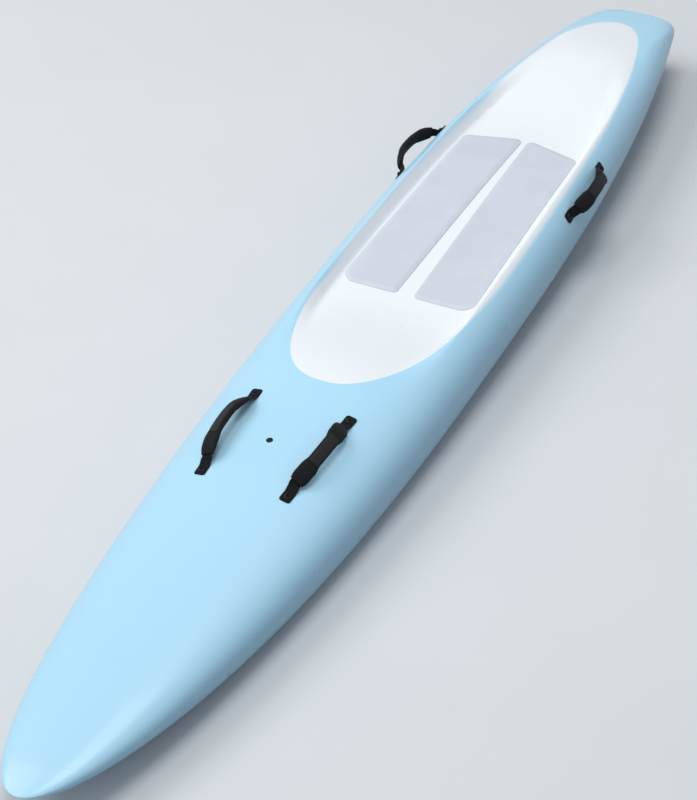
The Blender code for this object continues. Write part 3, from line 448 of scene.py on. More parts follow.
def math_node(tree, operation, first, second=0.0):
    return add_node(tree, "ShaderNodeMath", {0: first, 1: second}, operation=operation).outputs[0]


def between(tree, value, low, high, out_low, out_high, smooth=False):
    kind = "SMOOTHSTEP" if smooth else "LINEAR"
    inputs = {"Value": value, "From Min": low, "From Max": high, "To Min": out_low, "To Max": out_high}
    return add_node(tree, "ShaderNodeMapRange", inputs, interpolation_type=kind).outputs["Result"]


def blend_colours(tree, share, first, second):
    made = add_node(tree, "ShaderNodeMix", data_type="RGBA")
    for socket, value in ((made.inputs[0], share), (made.inputs[6], first), (made.inputs[7], second)):
        fill_socket(tree, socket, value)
    return made.outputs[2]


def noise(tree, vector, scale, detail=2.0, rough=0.5):
    inputs = {"Vector": vector, "Scale": scale, "Detail": detail, "Roughness": rough}
    return add_node(tree, "ShaderNodeTexNoise", inputs).outputs["Fac"]


def colour(shader, share, first, second):
    """Colours a finish between two colours."""
    tree = shader.id_data
    tree.links.new(blend_colours(tree, share, first, second), shader.inputs["Base Color"])


def polish(shader, unevenness, low, high):
    """Roughness of a finish, between two levels."""
    tree = shader.id_data
    tree.links.new(between(tree, unevenness, 0.3, 0.7, low, high), shader.inputs["Roughness"])


def emboss(shader, height, strength, distance):
    """Fine relief of a finish."""
    tree = shader.id_data
    relief = add_node(tree, "ShaderNodeBump", {"Strength": strength, "Distance": distance, "Height": height})
    tree.links.new(relief.outputs["Normal"], shader.inputs["Normal"])


paint_look = {"specular_ior_level": 0.3, "coat_weight": 0.15, "coat_roughness": 0.08}
paint, tree, shader = new_finish("gloss board paint", **paint_look)
where = object_place(tree)
inside_line = add_node(tree, "ShaderNodeAttribute", attribute_name="white_inside").outputs["Fac"]
mist_width = add_node(tree, "ShaderNodeAttribute", attribute_name="mist").outputs["Fac"]
dots = math_node(tree, "SUBTRACT", noise(tree, where, 420.0, 3.0), 0.5)
speckle = math_node(tree, "MULTIPLY", dots, mist_width)
reach = math_node(tree, "ADD", inside_line, math_node(tree, "MULTIPLY", speckle, 0.5))
share = math_node(tree, "DIVIDE", reach, mist_width)
white_share = between(tree, share, -1.0, 1.0, 0.0, 1.0, smooth=True)
cloud = noise(tree, where, 2.2, 2.0)
blue = blend_colours(tree, cloud, srgb(177, 224, 250), srgb(184, 228, 252))
white = blend_colours(tree, cloud, srgb(240, 245, 251), srgb(244, 248, 252))
colour(shader, white_share, blue, white)
polish(shader, noise(tree, where, 11.0, 2.0, 0.4), 0.27, 0.34)
emboss(shader, noise(tree, where, 320.0, 2.0), 0.05, 0.0001)
for shell, node, slot in ((deck, "deck_skin", "deck_laminate"), (hull, "hull_skin", "hull_laminate")):
    shell.data.materials.clear()
    shell.data.materials.append(paint)
    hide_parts(node)
    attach(shell, "board")


# Foam cores, stringer and threaded inserts
# The blank is beaded polystyrene in two halves, glued either side of a plywood stringer. Under
# each handle screw a black plastic insert with a thread is potted into the foam.

def refinish(finish, *nodes):
    """Gives pieces that are carried over from the frame their finish."""
    for node in nodes:
        for material_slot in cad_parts[node].material_slots:
            material_slot.material = finish


foam, tree, shader = new_finish("beaded foam", roughness=0.85)
where = object_place(tree)
beads = add_node(tree, "ShaderNodeTexVoronoi", {"Vector": where, "Scale": 260.0}).outputs["Distance"]
tone = between(tree, beads, 0.0, 0.7, 0.0, 1.0)
colour(shader, tone, srgb(246, 246, 242), srgb(221, 222, 217))
emboss(shader, math_node(tree, "SUBTRACT", 1.0, beads), 0.5, 0.0006)
refinish(foam, "port_foam_core", "starboard_foam_core")

plywood, tree, shader = new_finish("plywood", roughness=0.6)
where = object_place(tree)
drawn_out = add_node(tree, "ShaderNodeMapping", {"Vector": where, "Scale": (5.0, 900.0, 150.0)})
grain = noise(tree, drawn_out.outputs["Vector"], 1.0, 5.0, 0.6)
colour(shader, grain, srgb(196, 158, 108), srgb(228, 198, 150))
emboss(shader, grain, 0.3, 0.0003)
refinish(plywood, "stringer")

black_plastic, tree, shader = new_finish("moulded black plastic", specular_ior_level=0.25)
where = object_place(tree)
spark = noise(tree, where, 1400.0, 2.0)
rubbed = noise(tree, where, 90.0, 5.0, 0.7)
colour(shader, rubbed, srgb(14, 15, 16), srgb(26, 27, 29))
polish(shader, rubbed, 0.42, 0.58)
emboss(shader, spark, 0.25, 0.0002)
refinish(black_plastic, *[name + "_insert" for name in screw_seats])


# Knee pads
# Two sheets of pale grey closed-cell foam, 5 mm thick, cut with rounded corners and a bevelled
# rim and glued to the floor of the well on either side of its middle.

PAD_BED = 0.0003
PAD_REAR = 0.769
PAD_REAR_OUTER = 0.808
PAD_FRONT = 1.485
PAD_INNER_REAR = 0.0077
PAD_INNER_FRONT = 0.0235
PAD_CORNERS = (0.016, 0.014, 0.038, 0.016)
PAD_RIM = (
    (0.0005, 0.0), (0.0, 0.0005), (0.0, 0.0012), (0.0005, 0.0018), (0.0016, 0.0022),
    (0.0062, 0.0035), (0.0100, 0.0046), (0.0108, 0.0049), (0.0116, 0.0050), (0.0124, 0.0050),
)


def rounded(corners, radii, steps):
    """Points of a flat outline whose corners are arcs, and the way inwards at each point."""
    outline, inwards = [], []
    for index, (corner, radius) in enumerate(zip(corners, radii)):
        corner = Vector(corner)
        back = (Vector(corners[index - 1]) - corner).normalized()
        ahead = (Vector(corners[(index + 1) % len(corners)]) - corner).normalized()
        half_angle = back.angle(ahead) / 2
        centre = corner + (back + ahead).normalized() * radius / math.sin(half_angle)
        start = corner + back * radius / math.tan(half_angle) - centre
        end = corner + ahead * radius / math.tan(half_angle) - centre
        for step in range(steps + 1):
            spoke = Matrix.Rotation(-start.angle_signed(end) * step / steps, 2) @ start
            outline.append(centre + spoke)
            inwards.append(-spoke.normalized())
    return outline, inwards


def floor_edge(x):
    """How far out the flat floor of the well reaches."""
    return float(half_width(np.float64(x))) * WELL_FLOOR_SHARE


def pad_mesh(side):
    """Pad in rings of (inset, height) from its foot over the rim, then bent to the well's floor."""
    rear = ((PAD_REAR, PAD_INNER_REAR), (PAD_REAR_OUTER, floor_edge(PAD_REAR_OUTER) - 0.006))
    front = ((PAD_FRONT, PAD_INNER_FRONT), (PAD_FRONT, floor_edge(PAD_FRONT) - 0.002))
    outline, inwards = rounded((rear[0], *front, rear[1]), PAD_CORNERS, 12)
    bm = bmesh.new()
    rings = []
    for inset, height in PAD_RIM:
        places = [point + way * inset for point, way in zip(outline, inwards)]
        rings.append([bm.verts.new((place.x, side * place.y, height)) for place in places])
    count = len(outline)
    for lower, upper in zip(rings, rings[1:]):
        for index in range(count):
            after = (index + 1) % count
            bm.faces.new([lower[index], lower[after], upper[after], upper[index]])
    bm.faces.new(rings[0])
    bm.faces.new(rings[-1])
    for x in np.linspace(0.79, PAD_FRONT - 0.02, 36):
        everything = bm.verts[:] + bm.edges[:] + bm.faces[:]
        bmesh.ops.bisect_plane(bm, geom=everything, dist=1e-6, plane_co=(x, 0, 0), plane_no=(1, 0, 0))
    for vert in bm.verts:
        vert.co.z += float(deck_and_keel_lines(np.float64(vert.co.x))[0]) - WELL_DEPTH + PAD_BED
    bmesh.ops.recalc_face_normals(bm, faces=bm.faces)
    return mesh_from(bm, "pad")


def weighed(tree, first, first_share, second, second_share):
    """Sum of two patterns, each by its share."""
    one = math_node(tree, "MULTIPLY", first, first_share)
    return math_node(tree, "ADD", one, math_node(tree, "MULTIPLY", second, second_share))


pad_look = {"roughness": 0.82, "specular_ior_level": 0.3, "sheen_weight": 0.08}
pad_foam, tree, shader = new_finish("grey pad foam", **pad_look)
where = object_place(tree)
cells = add_node(tree, "ShaderNodeTexVoronoi", {"Vector": where, "Scale": 1500.0}).outputs["Distance"]
pores = noise(tree, where, 700.0, 4.0, 0.6)
worn = noise(tree, where, 9.0, 5.0, 0.6)
tone = weighed(tree, pores, 0.35, worn, 0.65)
spread = between(tree, tone, 0.3, 0.7, 0.0, 1.0)
colour(shader, spread, srgb(204, 208, 220), srgb(215, 219, 231))
height = math_node(tree, "ADD", math_node(tree, "MULTIPLY", cells, 0.5), pores)
emboss(shader, height, 0.35, 0.0004)
for name, side in (("port", 1), ("starboard", -1)):
    pad = new_object(name + "_foam_knee_pad", pad_mesh(side))
    stand(pad, 50.0)
    pad.data.materials.append(pad_foam)
    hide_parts(name + "_knee_pad")
    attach(pad, "board")


# Webbing of the carry handles
# Black 28 mm polyamide webbing. Each strap ends in two tongues that are screwed flat to the deck
# and rise to a fold, and between the folds it makes the loop that runs through the sleeve.

WEBBING_HALF = 0.014
WEBBING_THICK = 0.0022
FOLD_HEIGHT = 0.014
TONGUE_BED = 0.0003
TONGUE_TIP = 0.015
TONGUE_CORNER = 0.006
TONGUE_FLAT = 0.012
INTO_SLEEVE = 0.0085
BEND_AHEAD = 0.008
BEND_BEHIND = 0.003
LOOP_FULLNESS = 2.6


def tube(rings, closed_on_itself=False):
    """Skin through rings of points, with a UV map in metres: along the rings, and round each."""
    bm = bmesh.new()
    layer = bm.loops.layers.uv.new("lie")
    rows = [[bm.verts.new(point) for point in ring] for ring in rings]
    count, sides = len(rows), len(rows[0])
    middles = [sum((vert.co for vert in row), Vector()) / sides for row in rows]
    along = [0.0]
    for first, second in zip(middles, middles[1:] + middles[:1]):
        along.append(along[-1] + (second - first).length)
    round_it = []
    for row in rows:
        reach = [0.0]
        for side in range(sides):
            reach.append(reach[-1] + (row[(side + 1) % sides].co - row[side].co).length)
        round_it.append(reach)
    for index in range(count if closed_on_itself else count - 1):
        after = (index + 1) % count
        here, there = rows[index], rows[after]
        for side in range(sides):
            beside = (side + 1) % sides
            face = bm.faces.new([here[side], here[beside], there[beside], there[side]])
            near = [(along[index], round_it[index][edge]) for edge in (side, side + 1)]
            far = [(along[index + 1], round_it[after][edge]) for edge in (side + 1, side)]
            for loop, lie in zip(face.loops, near + far):
                loop[layer].uv = lie
    if not closed_on_itself:
        bm.faces.new(rows[0])
        bm.faces.new(rows[-1])
    bmesh.ops.recalc_face_normals(bm, faces=bm.faces)
    return mesh_from(bm, "tube")


def strap_rings(along, heights, halves, thick):
    """Sections of a flat strap whose middle follows the heights, square to its run."""
    slopes = np.gradient(heights, along)
    across = [(u, 0.5) for u in np.linspace(0.94, -0.94, 12)] + [(-1.0, 0.18), (-1.0, -0.18)]
    across += [(u, -0.5) for u in np.linspace(-0.94, 0.94, 12)] + [(1.0, -0.18), (1.0, 0.18)]
    rings = []
    for x, z, half, slope in zip(along, heights, halves, slopes):
        lift = thick / math.hypot(1.0, slope)
        rings.append([(x - slope * lift * v, half * u, z + lift * v) for u, v in across])
    return rings


def fold_place(half_length, climb):
    """Distance of a fold from the handle's middle."""
    return half_length - TONGUE_FLAT - climb


def loop_line(half_length, climb, height, steps):
    """Places along the loop between its folds, its height over the fold line there, and its reach."""
    reach = fold_place(half_length, climb) - 0.0003
    along = np.linspace(-reach, reach, steps)
    return along, (height - FOLD_HEIGHT) * (1.0 - np.abs(along / reach) ** LOOP_FULLNESS), reach


def tongue_rings(half_length, climb, height, lean):
    """Strap from the tongue's square tip up to the fold, and on into the sleeve with a twist."""
    low = TONGUE_BED + WEBBING_THICK / 2
    corner = np.radians(np.linspace(0, 90, 7))
    along = list(half_length + TONGUE_TIP - TONGUE_CORNER * (1.0 - np.cos(corner)))
    halves = list(WEBBING_HALF - TONGUE_CORNER + TONGUE_CORNER * np.sin(corner))
    heights = [low] * len(along)
    fold = fold_place(half_length, climb)
    for share in np.linspace(0.0, 1.0, 18)[:-1]:
        along.append(fold + climb * (1.0 - share))
        heights.append(low + (FOLD_HEIGHT - low) * share**1.3)
    for inside in np.linspace(0.0, INTO_SLEEVE, 9):
        along.append(fold - inside)
        heights.append(FOLD_HEIGHT + (height - FOLD_HEIGHT) * (1.0 - (1.0 - inside / fold) ** LOOP_FULLNESS))
    halves += [WEBBING_HALF] * (len(along) - len(halves))
    rings = strap_rings(np.array(along), np.array(heights), halves, WEBBING_THICK)
    for ring, x in zip(rings, along):
        share = 1.0 - float(ramp(x, fold - BEND_BEHIND, fold + BEND_AHEAD))
        twist = Matrix.Rotation(lean * share, 3, "X")
        axis = Vector((0.0, 0.0, FOLD_HEIGHT))
        ring[:] = [twist @ (Vector(point) - axis) + axis for point in ring]
    return rings


def cloth_finish(name, **sockets):
    """Finish whose pattern follows the cloth: where on it a point lies, along it and across it."""
    made, tree, shader = new_finish(name, **sockets)
    lie = add_node(tree, "ShaderNodeUVMap", uv_map="lie").outputs["UV"]
    split = add_node(tree, "ShaderNodeSeparateXYZ", {"Vector": lie}).outputs
    return made, tree, shader, lie, split["X"], split["Y"]


webbing_look = {"roughness": 0.75, "specular_ior_level": 0.16, "sheen_weight": 0.02, "sheen_roughness": 0.5}
webbing, tree, shader, lie, lengthwise, crosswise = cloth_finish("black webbing", **webbing_look)
columns = math_node(tree, "MULTIPLY", crosswise, 1 / 0.0016)
rib = math_node(tree, "ABSOLUTE", math_node(tree, "SINE", math_node(tree, "MULTIPLY", columns, math.pi)))
offset = math_node(tree, "MULTIPLY", math_node(tree, "FLOOR", columns), math.pi)
rows = math_node(tree, "MULTIPLY", lengthwise, 2 * math.pi / 0.003)
pick = math_node(tree, "SINE", math_node(tree, "ADD", rows, offset))
weave = math_node(tree, "MULTIPLY", rib, between(tree, pick, -1.0, 1.0, 0.35, 1.0))
fuzz = noise(tree, lie, 900.0, 3.0, 0.6)
# The weave's height also sets the colour: painted shade in the valleys between the yarns and a painted
# highlight on the rib crests, mixed with a random fuzz.
tone = weighed(tree, weave, 0.7, fuzz, 0.3)
colour(shader, tone, srgb(3, 3, 4), srgb(20, 20, 23))
emboss(shader, tone, 0.7, 0.0005)

# For each handle: the run in which the strap rises to its fold, the loop's height at its middle,
# and its lean to starboard in degrees.
handle_forms = {
    "front_port": (0.022, 0.036, -27.0),
    "front_starboard": (0.022, 0.036, 17.0),
    "rear_port": (0.014, 0.042, 7.0),
    "rear_starboard": (0.014, 0.042, 17.0),
}
swings = {}
for place, (climb, height, lean) in handle_forms.items():
    seat, half_length = handles[place]
    lean = math.radians(lean)
    swings[place] = seat @ Matrix.Translation((0.0, 0.0, FOLD_HEIGHT)) @ Matrix.Rotation(lean, 4, "X")
    for end, way_out in ways_out.items():
        name = place + "_handle_" + end + "_tongue"
        rings = tongue_rings(half_length, climb, height, lean if end == "fore" else -lean)
        tongue = new_object(name + "_webbing", tube(rings))
        outwards = seat @ way_out
        tongue.data.transform(outwards)
        stand(tongue, 60.0)
        tongue.data.materials.append(webbing)
        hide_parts(name)
        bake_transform(tongue)
    along, heights, reach = loop_line(half_length, climb, height, 41)
    kept = np.abs(along) < reach - INTO_SLEEVE - 0.0005
    rings = strap_rings(along[kept], heights[kept], [WEBBING_HALF] * int(kept.sum()), WEBBING_THICK)
    loop = new_object(place + "_handle_loop_webbing", tube(rings))
    loop.data.transform(swings[place])
    stand(loop, 60.0)
    loop.data.materials.append(webbing)
    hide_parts(place + "_handle_loop")
    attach(loop, place + "_loop")


# Neoprene sleeves
# A neoprene tube with a knitted face is pulled over each loop as a grip. It is narrow in the
# middle under the hand, flares on both sides of it, and is cut square at its open ends.

GRIP_WIDTH = 0.034
FLARE = 0.008
DRAW_IN = 0.006
GRIP_THICK = 0.017
END_THINNER = 0.006
SLEEVE_SHORT = 0.003
END_ROUNDED = 0.0006
STRAP_SLOT = (WEBBING_HALF + 0.0006, WEBBING_THICK / 2 + 0.0005)
CREASE_DEPTH = 0.0007


def sleeve_half(share):
    """Half width of a sleeve at a share of its run from the middle to the fold."""
    flare = FLARE * ramp(np.abs(share), 0.35, 0.6)
    draw_in = DRAW_IN * ramp(np.abs(share), 0.8, 1.0)
    return (GRIP_WIDTH + flare - draw_in) / 2


def sleeve_thickness(share):
    return GRIP_THICK - END_THINNER * ramp(np.abs(share), 0.7, 1.0)


def sleeve_point(x, z, slope, half, thick, angle, squareness=0.75):
    """Point round a sleeve's squared oval section, square to its run."""
    c, s = math.cos(angle), math.sin(angle)
    forward = 1.0 / math.hypot(1.0, slope)
    up = thick * math.copysign(abs(s) ** squareness, s)
    return Vector((x - slope * forward * up, half * math.copysign(abs(c) ** squareness, c), z + forward * up))


def sleeve_mesh(half_length, climb, height, seed):
    """Outside of a sleeve with soft creases in its flares, and the slot that its strap fills."""
    steps, sides = 57, 36
    along, heights, reach = loop_line(half_length, climb, height, 401)
    slopes = np.gradient(heights, along)
    places = np.linspace(-(reach - SLEEVE_SHORT), reach - SLEEVE_SHORT, steps)
    outer, inner = [], []
    for index, x in enumerate(places):
        z, slope = float(np.interp(x, along, heights)), float(np.interp(x, along, slopes))
        half, thick = float(sleeve_half(x / reach)), float(sleeve_thickness(x / reach)) / 2
        at_end = END_ROUNDED if index in (0, steps - 1) else 0.0
        ring, hollow = [], []
        for side in range(sides):
            angle = 2 * math.pi * side / sides
            point = sleeve_point(x, z, slope, half - at_end, thick - at_end, angle)
            crease = fold_noise(Vector((point.x * 60.0, point.y * 45.0, point.z * 45.0 + seed)))
            bent = 0.35 + 0.65 * float(ramp(abs(x / reach), 0.45, 0.8))
            out = Vector((0.0, math.cos(angle), math.sin(angle)))
            ring.append(point + out * (CREASE_DEPTH * bent * crease - 0.0002))
            hollow.append(sleeve_point(x, z, slope, *STRAP_SLOT, angle, 0.4))
        outer.append(ring)
        inner.append(hollow)
    return tube(outer + inner[::-1], closed_on_itself=True)


def wave(tree, along, pitch):
    return math_node(tree, "SINE", math_node(tree, "MULTIPLY", along, 2 * math.pi / pitch))


neoprene_look = {"roughness": 0.7, "specular_ior_level": 0.2, "sheen_weight": 0.02, "sheen_roughness": 0.4}
neoprene, tree, shader, lie, lengthwise, crosswise = cloth_finish("knit-faced neoprene", **neoprene_look)
wales = wave(tree, crosswise, 0.0011)
courses = wave(tree, lengthwise, 0.0009)
knit = math_node(tree, "MULTIPLY", wales, courses)
patchy = noise(tree, object_place(tree), 60.0, 4.0, 0.6)
tone = weighed(tree, between(tree, knit, -1.0, 1.0, 0.0, 1.0), 0.4, patchy, 0.6)
colour(shader, tone, srgb(4, 4, 5), srgb(17, 18, 20))
emboss(shader, tone, 0.5, 0.0004)
for seed, (place, (climb, height, _)) in enumerate(handle_forms.items()):
    mesh = sleeve_mesh(handles[place][1], climb, height, 7.3 * seed)
    sleeve = new_object(place + "_handle_sleeve_neoprene", mesh)
    sleeve.data.transform(swings[place])
    stand(sleeve, 50.0)
    sleeve.data.materials.append(neoprene)
    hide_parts(place + "_handle_sleeve")
    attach(sleeve, place + "_loop")


# Woven labels
# A blank black patch of woven ribbon lies over the grip of each sleeve, curved with it, and is
# sewn down round its edge.

LABEL_HALF = 0.013
LABEL_THICK = 0.0009
LABEL_RUN = 0.47


def on_sleeve(along, heights, slopes, reach, x, across, lift):
    """Point over the top of a sleeve, and the way out of it there."""
    z, slope = float(np.interp(x, along, heights)), float(np.interp(x, along, slopes))
    half = float(sleeve_half(x / reach))
    share = min(abs(across) / half, 0.999)
    up = float(sleeve_thickness(x / reach)) / 2 * (1 - share ** (8 / 3)) ** (3 / 8) + lift
    forward = 1.0 / math.hypot(1.0, slope)
    lean = (up - lift) * share ** (5 / 3) / (1 - share ** (8 / 3)) / half
    out = Vector((-slope * forward, math.copysign(lean, across), forward))
    return Vector((x - slope * forward * up, across, z + forward * up)), out.normalized()


def label_mesh(half_length, climb, height):
    """Patch over the top of the sleeve, its underside just inside the neoprene."""
    along, heights, reach = loop_line(half_length, climb, height, 401)
    slopes = np.gradient(heights, along)
    half_run = LABEL_RUN * (reach - SLEEVE_SHORT)
    columns = np.linspace(-LABEL_HALF, LABEL_HALF, 15)
    rings = []
    for x in np.linspace(-half_run, half_run, 33):
        top = [on_sleeve(along, heights, slopes, reach, x, y, LABEL_THICK)[0] for y in columns]
        bottom = [on_sleeve(along, heights, slopes, reach, x, y, -0.0006)[0] for y in columns[::-1]]
        rings.append(top + bottom)
    return tube(rings)


label_look = {"roughness": 0.55, "specular_ior_level": 0.25}
label_cloth, tree, shader, lie, lengthwise, crosswise = cloth_finish("woven label ribbon", **label_look)
diagonal = math_node(tree, "ADD", lengthwise, math_node(tree, "MULTIPLY", crosswise, 0.6))
twill = wave(tree, diagonal, 0.0008)
satin = between(tree, twill, -1.0, 1.0, 0.0, 1.0)
colour(shader, satin, srgb(14, 14, 16), srgb(30, 30, 33))
emboss(shader, satin, 0.4, 0.0002)
for place, (climb, height, _) in handle_forms.items():
    label = new_object(place + "_handle_blank_label", label_mesh(handles[place][1], climb, height))
    label.data.transform(swings[place])
    stand(label, 50.0)
    label.data.materials.append(label_cloth)
    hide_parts(place + "_handle_label")
    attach(label, place + "_loop")


# Stitching of the handles
# Black bonded thread, 0.5 mm thick: a row round each label, a row along both edges and across
# both ends of each sleeve, and a box sewn through each tongue.

THREAD_LIFT = 0.0001
LABEL_MARGIN = 0.0018
SLEEVE_MARGIN = 0.0032
SLEEVE_END_ROW = 0.0075
STITCH_SIZES = {"Stitch Length": 0.003, "Pitch": 0.004, "Thread Radius": 0.00028, "Arch": 0.0005}


def group_socket(tree, name, kind, value=None):
    made = tree.interface.new_socket(name, in_out="INPUT", socket_type="NodeSocket" + kind)
    if value is not None:
        made.default_value = value


def carried(tree, name):
    """Vector that the points of the given geometry carry under a name."""
    made = add_node(tree, "GeometryNodeInputNamedAttribute", {"Name": name}, data_type="FLOAT_VECTOR")
    return made.outputs["Attribute"]


def turned_to(tree, axis, vector, pivot="AUTO", first=None):
    """Turn that brings an axis to a vector, after a first turn where one is given."""
    inputs = {"Vector": vector}
    if first is not None:
        inputs["Rotation"] = first
    made = add_node(tree, "FunctionNodeAlignRotationToVector", inputs, axis=axis, pivot_axis=pivot)
    return made.outputs["Rotation"]


def shape_node(tree, kind, output="Geometry", inputs=None, **settings):
    """New Geometry Nodes node, and its output of shapes."""
    return add_node(tree, "GeometryNode" + kind, inputs, **settings).outputs[output]


def end_tree(tree, name, instances, finish, smooth):
    """Makes the copies real, shades them, gives them their finish and ends the tree."""
    shapes = shape_node(tree, "RealizeInstances", inputs={"Geometry": instances})
    if smooth:
        shapes = shape_node(tree, "SetShadeSmooth", inputs={"Geometry": shapes})
    dressed = shape_node(tree, "SetMaterial", inputs={"Geometry": shapes, "Material": finish})
    tree.interface.new_socket(name, in_out="OUTPUT", socket_type="NodeSocketGeometry")
    add_node(tree, "NodeGroupOutput", {name: dressed})


def stitch_tree():
    """Lays one arched stitch after another along seams whose points carry the way out as 'out'."""
    tree = bpy.data.node_groups.new("stitches along seams", "GeometryNodeTree")
    group_socket(tree, "Seams", "Geometry")
    for name, value in STITCH_SIZES.items():
        group_socket(tree, name, "Float", value)
    group_socket(tree, "Seed", "Int", 3)
    group_socket(tree, "Thread", "Material")
    given = add_node(tree, "NodeGroupInput").outputs
    curves = shape_node(tree, "MeshToCurve", "Curve", {"Mesh": given["Seams"]})
    evenly = {"Curve": curves, "Length": given["Pitch"]}
    spaced = shape_node(tree, "ResampleCurve", "Curve", evenly, mode="LENGTH")
    run = add_node(tree, "GeometryNodeInputTangent").outputs["Tangent"]
    facing = turned_to(tree, "Z", carried(tree, "out"), "X", turned_to(tree, "X", run))
    half = math_node(tree, "MULTIPLY", given["Stitch Length"], 0.5)
    back = math_node(tree, "MULTIPLY", given["Stitch Length"], -0.5)
    ends = [add_node(tree, "ShaderNodeCombineXYZ", {"X": x}).outputs["Vector"] for x in (back, half)]
    line = shape_node(tree, "CurvePrimitiveLine", "Curve", {"Start": ends[0], "End": ends[1]})
    steps = shape_node(tree, "ResampleCurve", "Curve", {"Curve": line, "Count": 6}, mode="COUNT")
    position = add_node(tree, "GeometryNodeInputPosition").outputs["Position"]
    x = add_node(tree, "ShaderNodeSeparateXYZ", {"Vector": position}).outputs["X"]
    share = math_node(tree, "DIVIDE", x, half)
    depth = math_node(tree, "MULTIPLY", given["Arch"], -1.0)
    drop = math_node(tree, "MULTIPLY", math_node(tree, "MULTIPLY", share, share), depth)
    sink = add_node(tree, "ShaderNodeCombineXYZ", {"Z": drop}).outputs["Vector"]
    arched = shape_node(tree, "SetPosition", inputs={"Geometry": steps, "Offset": sink})
    ring = {"Resolution": 6, "Radius": given["Thread Radius"]}
    circle = shape_node(tree, "CurvePrimitiveCircle", "Curve", ring)
    sweep = {"Curve": arched, "Profile Curve": circle, "Fill Caps": True}
    thread = shape_node(tree, "CurveToMesh", "Mesh", sweep)
    sizes = {2: 0.93, 3: 1.05, "Seed": given["Seed"]}
    uneven = add_node(tree, "FunctionNodeRandomValue", sizes, data_type="FLOAT").outputs[1]
    laid = {"Points": spaced, "Instance": thread, "Rotation": facing, "Scale": uneven}
    placed = shape_node(tree, "InstanceOnPoints", "Instances", laid)
    end_tree(tree, "Stitches", placed, given["Thread"], smooth=True)
    return tree


def with_attributes(name, points, vectors, edges=()):
    """Loose points or lines that carry named vectors, for a Geometry Nodes tree to build on."""
    mesh = bpy.data.meshes.new(name)
    mesh.from_pydata([tuple(point) for point in points], list(edges), [])
    for label, values in vectors.items():
        flat = [number for value in values for number in value]
        mesh.attributes.new(label, "FLOAT_VECTOR", "POINT").data.foreach_set("vector", flat)
    return new_object(name, mesh)


def built_by(obj, tree, settings):
    """Runs a tree on the object with its named inputs set, and keeps the plain mesh."""
    modifier = obj.modifiers.new(tree.name, "NODES")
    modifier.node_group = tree
    sockets = {item.name: item.identifier for item in tree.interface.items_tree if item.in_out == "INPUT"}
    for name, value in settings.items():
        modifier[sockets[name]] = value
    finished_mesh(obj)
    obj.data.name = obj.name


def sewn(name, seams):
    """Stitches along seams, each a list of (point, out) and whether it closes on itself."""
    points, outs, edges = [], [], []
    for seam, closes in seams:
        first = len(points)
        points += [point for point, _ in seam]
        outs += [out for _, out in seam]
        edges += [(first + i, first + i + 1) for i in range(len(seam) - 1)]
        if closes:
            edges.append((first + len(seam) - 1, first))
    made = with_attributes(name, points, {"out": outs}, edges)
    built_by(made, stitches, {"Thread": thread})
    return made


thread, tree, shader = new_finish("bonded thread", roughness=0.5, specular_ior_level=0.25)
ply = noise(tree, object_place(tree), 2500.0, 2.0)
colour(shader, ply, srgb(16, 17, 19), srgb(38, 39, 43))
emboss(shader, ply, 0.4, 0.0001)

stitches = stitch_tree()
tongue_seams = []
for place, (climb, height, _) in handle_forms.items():
    seat, half_length = handles[place]
    along, heights, reach = loop_line(half_length, climb, height, 401)
    slopes = np.gradient(heights, along)

    def row(places, lift):
        """Seam over the sleeve through places given as (along, across)."""
        return [on_sleeve(along, heights, slopes, reach, x, y, lift) for x, y in places]

    run = LABEL_RUN * (reach - SLEEVE_SHORT) - LABEL_MARGIN
    edge = LABEL_HALF - LABEL_MARGIN
    border = [(x, -edge) for x in np.linspace(-run, run, 30)]
    border += [(run, y) for y in np.linspace(-edge, edge, 9)[1:]]
    border += [(x, edge) for x in np.linspace(run, -run, 30)[1:]]
    border += [(-run, y) for y in np.linspace(edge, -edge, 9)[1:-1]]
    seams = [(row(border, LABEL_THICK + THREAD_LIFT), True)]
    end = reach - SLEEVE_END_ROW
    width = float(sleeve_half(end / reach)) - SLEEVE_MARGIN
    for sign in (-1, 1):
        places = np.linspace(-end, end, 60)
        edge_row = [(x, sign * (float(sleeve_half(x / reach)) - SLEEVE_MARGIN)) for x in places]
        end_row = [(sign * end, y) for y in np.linspace(-width, width, 12)]
        seams += [(row(edge_row, 2 * THREAD_LIFT), False), (row(end_row, 2 * THREAD_LIFT), False)]
    sewing = sewn(place + "_handle_stitches", seams)
    sewing.data.transform(standing @ swings[place])
    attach(sewing, place + "_loop")
    top = TONGUE_BED + WEBBING_THICK + THREAD_LIFT
    tip, heel = half_length + 0.0095, half_length - 0.0115
    box = ((tip, 0.0085), (tip, -0.0085), (heel, -0.0095), (heel, 0.0095))
    for way_out in ways_out.values():
        outwards = seat @ way_out
        up = outwards.to_3x3() @ Vector((0.0, 0.0, 1.0))
        tongue_seams.append(([(outwards @ Vector((x, y, top)), up) for x, y in box], True))
sewing = sewn("tongue_stitches", tongue_seams)
sewing.data.transform(standing)
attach(sewing, "board")


# Handle screws and cup washers
# Black-coated steel button-head screws, M5 with a hexagon socket, each through a black plastic
# cup washer that presses the tongue on the deck.

WASHER_FOOT = WEBBING_THICK + 0.0006
HEAD_FOOT = WASHER_FOOT + 0.0027
SOCKET_FOOT = HEAD_FOOT + 0.0014
SCREW_PROFILE = (
    (0, 0.003), (0.0026, 0.0029), (0.0037, 0.0024), (0.0045, 0.0014), (0.0048, 0.0006), (0.0048, 0),
    (0.0025, 0), (0.0025, -0.0285), (0, -0.0297),
)
WASHER_PROFILE = (
    (0.0028, 0), (0.0028, 0.0019), (0.0034, 0.0024), (0.0056, 0.0024),
    (0.0068, 0.0019), (0.0078, 0.0009), (0.008, 0.0003), (0.008, 0),
)
HEXAGON_PROFILE = ((0, 0.01), (0.0017, 0.01), (0.0017, 0), (0, 0))


